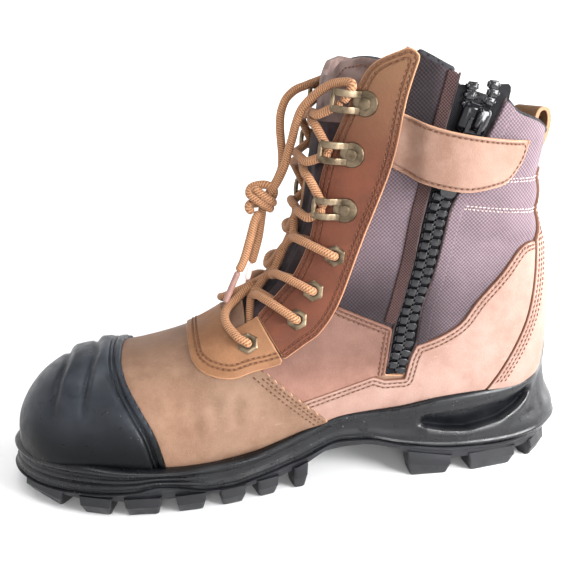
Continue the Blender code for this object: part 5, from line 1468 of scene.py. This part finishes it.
def edge_x(rows, z):
    xs, zs = np.array(rows, float).T
    return np.interp(z, zs, xs)


def zip_middle(z):
    return (edge_x(ZIP_FRONT, z) + edge_x(ZIP_REAR, z)) / 2


def zip_frame(x, z, out, toward):
    """Where a tooth sits: its own x points across to one edge, its y along the zip."""
    point, normal = side_frame(x, z, 1.0)
    above = side_frame(zip_middle(z + 2.0), z + 2.0, 1.0)[0]
    below = side_frame(zip_middle(z - 2.0), z - 2.0, 1.0)[0]
    return placed(point + normal * out, normal, (above - below).cross(normal) * toward)


def make_zip():
    heights = np.linspace(ZIP_FOOT_Z - 3.0, ZIP_TOP_Z + 3.0, 40)
    for name, rows, toward in (("front", ZIP_FRONT, 1.0), ("rear", ZIP_REAR, -1.0)):
        edge = np.column_stack([edge_x(rows, heights) + 2.2 * toward, heights])
        closed = zip_middle(heights) + 0.1 * toward
        opened = edge_x(rows, heights) - OPEN_TAPE * toward
        share = ease(heights, SLIDER[1] - 4.0, SLIDER[1] + 6.0)
        middle = np.column_stack([closed * (1 - share) + opened * share, heights])
        piece = patch(field(joined_lines(edge, middle[::-1])), "inner")
        shell("zip_cloth_" + name, piece, TAPE_OUT, TAPE_IN, [ZIP_CLOTH], ["zip_tape_" + name])
    chain = Parts()
    tooth = [rounded_block(*block) for block in TOOTH]
    for toward, start in ((1.0, 0.0), (-1.0, TOOTH_PITCH / 2)):
        for z in np.arange(ZIP_FOOT_Z + start, CHAIN_TOP_Z, TOOTH_PITCH):
            for block in tooth:
                chain.add(block, zip_frame(zip_middle(z), z, 0.1, toward))
    chain.make("zip_teeth_closed", [BLACK_PLASTIC], ["zip_chain"])
    for name, rows, toward in (("front", ZIP_FRONT, 1.0), ("rear", ZIP_REAR, -1.0)):
        row = Parts()
        for z in np.arange(SLIDER[1] + 8.0, ZIP_TOP_Z + 3.0, TOOTH_PITCH * 0.8):
            x = edge_x(rows, z) - (OPEN_TAPE - 0.6) * toward
            for block in tooth:
                row.add(block, zip_frame(x, z, 0.1, toward))
        row.make("zip_teeth_open_" + name, [BLACK_PLASTIC], ["zip_teeth_" + name])


def slider_frame():
    point, out = side_frame(*SLIDER, 1.0)
    lower = side_frame(zip_middle(168.0), 168.0, 1.0)[0]
    return placed(point, out, out.cross(lower - point))


def make_slider():
    width, length, height = SLIDER_SIZE
    where = slider_frame()
    slider = Parts()
    slider.add(rounded_block((-width / 2, -length / 2, -0.1), (width / 2, length / 2, height), 2.6), where)
    slider.add(tube(BRIDGE, BRIDGE_R, 12)[0], where)
    slider.make("zip_slider_body", [BLACK_PLASTIC], ["zip_slider"])
    shares = np.linspace(0, 1, 96, endpoint=False)
    corners = ((PULL_HALF, 0.5), (-PULL_HALF, 0.5), (-PULL_HALF, -PULL_LENGTH), (PULL_HALF, -PULL_LENGTH))
    edge = rounded_ring(corners, 3.0, 6)
    closed = np.vstack([edge, edge[:1]])
    run = np.cumsum(np.linalg.norm(np.diff(closed, axis=0, prepend=closed[:1]), axis=1))
    outline = np.column_stack([np.interp(shares * run[-1], run, closed[:, c]) for c in (0, 1)])
    middle = np.array([0.0, -(PULL_HOLE[1] + 0.5) / 2])
    reach = outline - middle
    scale = np.maximum(np.abs(reach[:, 0]) / PULL_HOLE[0], np.abs(reach[:, 1]) / ((PULL_HOLE[1] - 0.5) / 2))
    hole = middle + reach / scale[:, None]
    half = PULL_THICK / 2
    rings = []
    for flat, share, z in ((hole, 0, -half), (outline, 0.25, -half), (outline, 0, -half / 2),
                           (outline, 0, half / 2), (outline, 0.25, half), (hole, 0, half), (hole, 0, -half)):
        inset = flat - reach / np.linalg.norm(reach, axis=1)[:, None] * share
        rings.append(np.column_stack([inset, np.full(len(flat), z)]) + PULL_PIN)
    pull = Parts()
    pull.add(lathe(rings), where)
    for y in GRIP_RIDGES:
        ridge = [np.array((x, y, 0.5)) + PULL_PIN for x in (-2.6, 0.0, 2.6)]
        pull.add(tube(ridge, 0.45, 8)[0], where)
    pull.make("zip_pull_tab", [BLACK_PLASTIC], ["zip_pull"], "pull_tab")


# The pull loop's strip from its lower outside end, over the top and down inside: x, z
PULL_LOOP = ((20.0, 158), (19.4, 166), (17.6, 176), (15.2, 187), (14.8, 195), (16.2, 199.6), (18.6, 200.6),
             (21.2, 198.8), (22.8, 192), (23.4, 184), (23.6, 178))
PULL_LOOP_TWIST = 0.28
PULL_LOOP_HALF, PULL_LOOP_THICK = 10.0, 1.9


def make_pull_loop():
    line = smooth_line(PULL_LOOP, 10)
    along = np.gradient(line, axis=0)
    out = np.column_stack([-along[:, 1], along[:, 0]]) / np.linalg.norm(along, axis=1)[:, None]
    across = np.linspace(-PULL_LOOP_HALF, PULL_LOOP_HALF, 23)
    grid = []
    for half in (PULL_LOOP_THICK / 2, -PULL_LOOP_THICK / 2):
        flat = line + out * half
        twist = PULL_LOOP_TWIST * ease(flat[:, 1], 170.0, 194.0)
        grid.append(np.array([[(x - y * math.sin(a), y * math.cos(a), z) for y in across]
                              for (x, z), a in zip(flat, twist)]).reshape(-1, 3))
    faces, _, _ = shell_faces(grid_tris(len(line), len(across)), len(grid[0]))
    edge = np.tile(PULL_LOOP_HALF - np.abs(across), len(line))
    add_piece("pull_loop_strip", np.vstack(grid), faces, [LOOP_LEATHER], ["pull_loop"],
              marks={"edge": np.concatenate([edge, edge])})


# Laces
KNOT, KNOT_SIZE = (167.5, 0.0, 153.5), 0.92
LOOP_NEAR = ((127.3, 34.6, 214.8), (133, 28, 215.5), (138.2, 22.5, 213), (143.6, 18.5, 208.4),
             (148.8, 15.5, 202), (151.2, 11.8, 194.3), (152.6, 9, 187), (154.4, 6.5, 179.6),
             (156.5, 4.5, 171), (160.5, 2.0, 162.0), (165.0, 0.5, 156.0))
LOOP_FAR = ((127, -34.6, 214.8), (134.3, -24, 214), (141.8, -17, 212), (147.6, -14, 210), (152.8, -12, 205.5),
            (155.8, -10, 198.8), (156.6, -8.5, 191.7), (156.3, -7.5, 184.3), (155.8, -6.5, 176.4),
            (156.4, -5.5, 169), (160.5, -3.0, 161.0), (165.0, -1.0, 155.0))
END_NEAR = ((169.5, 3.0, 148.0), (172.6, 5.5, 142.5), (175.2, 7.5, 134.3), (179, 10, 122.9),
            (182.5, 12, 116.9))
END_FAR = ((167.2, -0.5, 150.5), (168.2, -1.5, 142), (170, 0.5, 132.8), (173.3, 2, 121.7),
           (174.4, 2.5, 118.7))
TIP_NEAR, TIP_FAR, TIP_R = (190.1, 15, 100.8), (177.2, 3.5, 109.6), 1.7
# Where the lace passes a hook: ahead of its rivet, then below, above and at its bar
HOOK_AHEAD, HOOK_LOWER, HOOK_UPPER, HOOK_APEX, HOOK_APEX_OUT = 9.0, (2.6, -7.0), (-0.5, 8.0), 8.2, 4.6
# A strand near its eyelet or hook: share of the way from the ridge to it, negative on the other side,
# rows of the last above it, how far out of the last
LEAVE_EYELET = ((0.9, -0.1, 5.2), (0.66, -0.35, 4.8), (0.42, -0.6, 2.6), (0.2, -0.75, -1.0))
DIVE_UNDER = ((-0.12, -0.85, -2.6), (-0.32, -0.7, -2.2), (-0.5, -0.5, -2.6), (-0.68, -0.3, -3.6),
              (-0.88, -0.1, -4.4))
REACH_HOOK = ((-0.12, -0.6, -1.6), (-0.36, -0.4, 0.8), (-0.62, -0.2, 4.2), (-0.86, -0.05, 5.4))
LEAVE_BAR = ((0.85, -0.2, 5.0), (0.55, -0.35, 5.0), (0.3, -0.2, 3.6), (0.13, 0.35, 1.6), (0.0, 0.8, 0.4))
# A strand straight across: share of the way, how far out of the last
UNDER_BOTH = ((0.1, -3.5), (0.25, -3.0), (0.4, -2.4), (0.5, -2.2), (0.6, -2.4), (0.75, -3.0), (0.9, -3.5))
OVER_HOOK = ((0.14, 5.6), (0.26, 4.2), (0.38, 1.4), (0.5, -0.6))
# The knot's turns as ahead, towards the inner side and up from its middle
KNOT_TURNS = (((-6.0, 2.5, -6.0), (-1.2, 4.6, -2.5), (4.2, 4.8, 1.3), (7.8, 3.2, 4.2), (6.6, 1.0, 7.4),
               (2.4, 0.5, 8.8), (-2.4, 1.0, 8.8), (-6.4, 0.0, 6.2), (-6.6, -2.0, 1.9), (-2.4, -3.0, -1.9),
               (3.6, -2.0, -2.5), (7.6, 1.0, -2.2), (8.2, 2.6, -4.8), (5.2, 2.8, -6.6)),
              ((-7.2, 1.0, -2.6), (-3.4, 5.2, 0.9), (1.4, 5.6, 4.6), (4.6, 3.4, 7.0), (6.0, -1.0, 4.4)))


def hook_anchor(number, shift):
    x, z, _ = HOOKS[number]
    return x + HOOK_AHEAD + shift[0], z + shift[1]


def lace_across(start, end, side, heights):
    """Points of a strand straight from one side's place to the other side's."""
    (t0, turn0), (t1, turn1) = turn_at(*start), turn_at(*end)
    points = []
    for share, out in heights:
        spread = side * ((math.pi - turn0) * (1 - share) - (math.pi - turn1) * share)
        points.append(around(t0 + (t1 - t0) * share, spread, out))
    return points


def mirrored_heights(heights):
    return list(heights) + [(1 - share, out) for share, out in heights[-2::-1]]


def lace_climb(start, end, side, arrive, lift):
    """Points of a strand that leaves its eyelet, climbs along the ridge and arrives on the other side."""
    (t0, turn0), (t1, turn1) = turn_at(*start), turn_at(*end)
    points = []
    for reach, rows, out in LEAVE_EYELET:
        points.append(around(t0 + rows, side * reach * (math.pi - turn0), out + lift))
    for reach, rows, out in arrive:
        points.append(around(t1 + rows, side * reach * (math.pi - turn1), out + lift))
    return points


def add_lace(name, routes, replaces):
    strands = Parts()
    for route in routes:
        shape, braid, _, _ = tube(route, LACE_D / 2)
        strands.add(shape, None, 0, braid)
    strands.make(name, [LACE], replaces)


def eyelet_end(number, side):
    """Up through an eyelet's hole."""
    x, z = EYELETS[number]
    return [on_side(x, z, -0.5, side), on_side(x + 0.4, z, 3.7, side)]


def hook_end(number, side):
    x, z, _ = HOOKS[number]
    return [on_side(x + HOOK_APEX, z, HOOK_APEX_OUT, side)]


def make_laces():
    radius = LACE_D / 2
    t0, turn0 = turn_at(*EYELETS[0])
    near, far = ([around(t0 + rows, side * reach * (math.pi - turn0), out) for reach, rows, out in LEAVE_BAR]
                 for side in (1.0, -1.0))
    route = eyelet_end(0, 1.0) + near + far[-2::-1] + eyelet_end(0, -1.0)[::-1]
    add_lace("lace_strand_bar", [route], ["lace_bar"])
    for number in range(6):
        routes = []
        for side in (1.0, -1.0):
            lift = 0.7 if side < 0 else 0.0
            if number == 0:
                heights = [(share, out + lift) for share, out in UNDER_BOTH]
                routes.append(lace_across(EYELETS[0], EYELETS[1], side, heights))
            elif number < 3:
                across = lace_climb(EYELETS[number], EYELETS[number + 1], side, DIVE_UNDER, lift)
                routes.append(eyelet_end(number, side) + across)
            elif number == 3:
                across = lace_climb(EYELETS[3], hook_anchor(0, HOOK_LOWER), side, REACH_HOOK, lift)
                routes.append(eyelet_end(3, side) + across + hook_end(0, -side))
            else:
                heights = [(share, out + lift) for share, out in mirrored_heights(OVER_HOOK)]
                lower, upper = number - 4, number - 3
                start, end = hook_anchor(lower, HOOK_UPPER), hook_anchor(upper, HOOK_LOWER)
                across = lace_across(start, end, side, heights)
                routes.append(hook_end(lower, side) + across + hook_end(upper, -side))
        add_lace("lace_strands_%d" % (number + 1), routes, ["lace_cross_%d" % (number + 1)])
    add_lace("lace_knot_turns", [np.array(turns) * KNOT_SIZE + KNOT for turns in KNOT_TURNS], ["lace_knot"])
    for name, route, side in (("near", LOOP_NEAR, 1.0), ("far", LOOP_FAR, -1.0)):
        shape, braid, centres, length = tube(hook_end(2, side) + [Vector(p) for p in route], radius)
        strand = Parts()
        strand.add(shape, None, 0, braid)
        obj = strand.make("lace_strand_" + name, [LACE], ["lace_loop_" + name])
    tails = (("near", END_NEAR, TIP_NEAR, TIP_BROWN), ("far", END_FAR, TIP_FAR, TIP_PALE))
    for name, route, tip, finish in tails:
        shape, braid, centres, length = tube(route, radius)
        strand = Parts()
        strand.add(shape, None, 0, braid)
        obj = strand.make("lace_tail_" + name, [LACE], ["lace_end_" + name])
        film = Parts()
        a, b = Vector(route[-1]), Vector(tip)
        film.add(tube([a - (b - a) * 0.04, a + (b - a) * 0.3, a + (b - a) * 0.7, b], TIP_R, 16)[0])
        sleeve = film.make("lace_aglet_" + name, [finish], ["lace_tip_" + name])


swell_padding()
make_upper()
make_vamp()
make_guard()
make_overlays()
make_zip_edges()
make_collar_rolls()
make_strap()
make_tongue()
make_midsole()
make_outsole()
make_insole()
make_fittings()
make_zip()
make_slider()
make_pull_loop()
make_laces()
make_stitches()
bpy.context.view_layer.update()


# Floor, light and camera
# The floor's rings in metres: radius, rise
STAGE = ((0.02, 0.0), (0.3, 0.0), (0.5, 0.0), (1.0, 0.0), (1.5, 0.02), (2.0, 0.2), (2.4, 0.8), (2.4, 1.8))
STAGE_SIDES = 72
FLOOR_GLOW = 0.55


def make_stage():
    """A pale floor that curves up into a lit backdrop all round."""
    f = Finish("pale_floor", 0.9)
    f.color(f.mix(f.span(f.noise(3.0, 2.0), 0.3, 0.7), (0.78, 0.78, 0.79), (0.82, 0.82, 0.82)))
    f.put(f.shader, "Emission Color", (1.0, 1.0, 1.0))
    f.put(f.shader, "Emission Strength", f.math("MULTIPLY", f.mark("glow"), FLOOR_GLOW))
    turn = np.linspace(0, 2 * math.pi, STAGE_SIDES, endpoint=False)
    rings, glow = [], []
    for radius, rise in STAGE:
        level = np.full(STAGE_SIDES, rise)
        rings.append(np.column_stack([radius * np.cos(turn), radius * np.sin(turn), level]))
        glow += [float(ease(radius, 0.35, 1.3))] * STAGE_SIDES
    points, faces = lathe(rings)
    mesh = bpy.data.meshes.new("floor")
    mesh.from_pydata(points.tolist(), [], [face[::-1] for face in faces] + [tuple(range(STAGE_SIDES))])
    mesh.materials.append(f.material)
    mesh.attributes.new("glow", "FLOAT", "POINT").data.foreach_set("value", np.array(glow))
    mesh.shade_smooth()
    floor = bpy.data.objects.new("floor", mesh)
    bpy.context.scene.collection.objects.link(floor)


def area_light(name, place, aim, size, power):
    lamp = bpy.data.lights.new(name, "AREA")
    lamp.shape = "RECTANGLE"
    lamp.size, lamp.size_y = size
    lamp.energy = power
    obj = bpy.data.objects.new(name, lamp)
    obj.location = place
    obj.rotation_euler = (Vector(aim) - Vector(place)).to_track_quat("-Z", "Y").to_euler()
    bpy.context.scene.collection.objects.link(obj)


# Lights in metres and watts: name, place, what it points at, size, power
LIGHTS = (
    ("heel_side", (-0.54, 0.47, 0.32), (-0.09, 0.0, 0.1), (0.36, 0.36), 12.5),
    ("behind_heel", (-1.0, -0.1, 0.3), (-0.12, 0.0, 0.08), (0.7, 0.8), 14.0),
    ("window_glint", (-0.47, 0.92, 0.12), (-0.066, 0.045, 0.148), (0.1, 0.1), 0.8),
    ("overhead", (0.2, 0.1, 1.3), (0.0, 0.0, 0.0), (0.9, 0.7), 8.0),
    ("camera_side", (0.1, 1.2, 0.5), (0.0, 0.0, 0.1), (0.5, 0.5), 5.0),
)
WORLD_STRENGTH = 0.4


def make_light():
    world = bpy.data.worlds.new("studio")
    world.use_nodes = True
    world.node_tree.nodes["Background"].inputs["Color"].default_value = (1.0, 1.0, 1.0, 1.0)
    world.node_tree.nodes["Background"].inputs["Strength"].default_value = WORLD_STRENGTH
    bpy.context.scene.world = world
    for light in LIGHTS:
        area_light(*light)


# The photograph's camera: lens and sensor in millimetres, places in metres
CAMERA_LENS, CAMERA_SENSOR, CAMERA_SHIFT = 45.43, 36.0, (-0.00776, -0.02534)
CAMERA_AT, CAMERA_AIM = (0.05754, 0.38716, 0.23124), (-0.0017, 0.0, 0.110)


def make_camera():
    data = bpy.data.cameras.new("photo_camera")
    data.lens = CAMERA_LENS
    data.sensor_width = CAMERA_SENSOR
    data.shift_x, data.shift_y = CAMERA_SHIFT
    camera = bpy.data.objects.new("photo_camera", data)
    camera.location = CAMERA_AT
    aim = Vector(CAMERA_AIM) - camera.location
    camera.rotation_euler = aim.to_track_quat("-Z", "Y").to_euler()
    bpy.context.scene.collection.objects.link(camera)
    bpy.context.scene.camera = camera


make_stage()
make_light()
make_camera()
bpy.context.scene.view_settings.view_transform = "Standard"
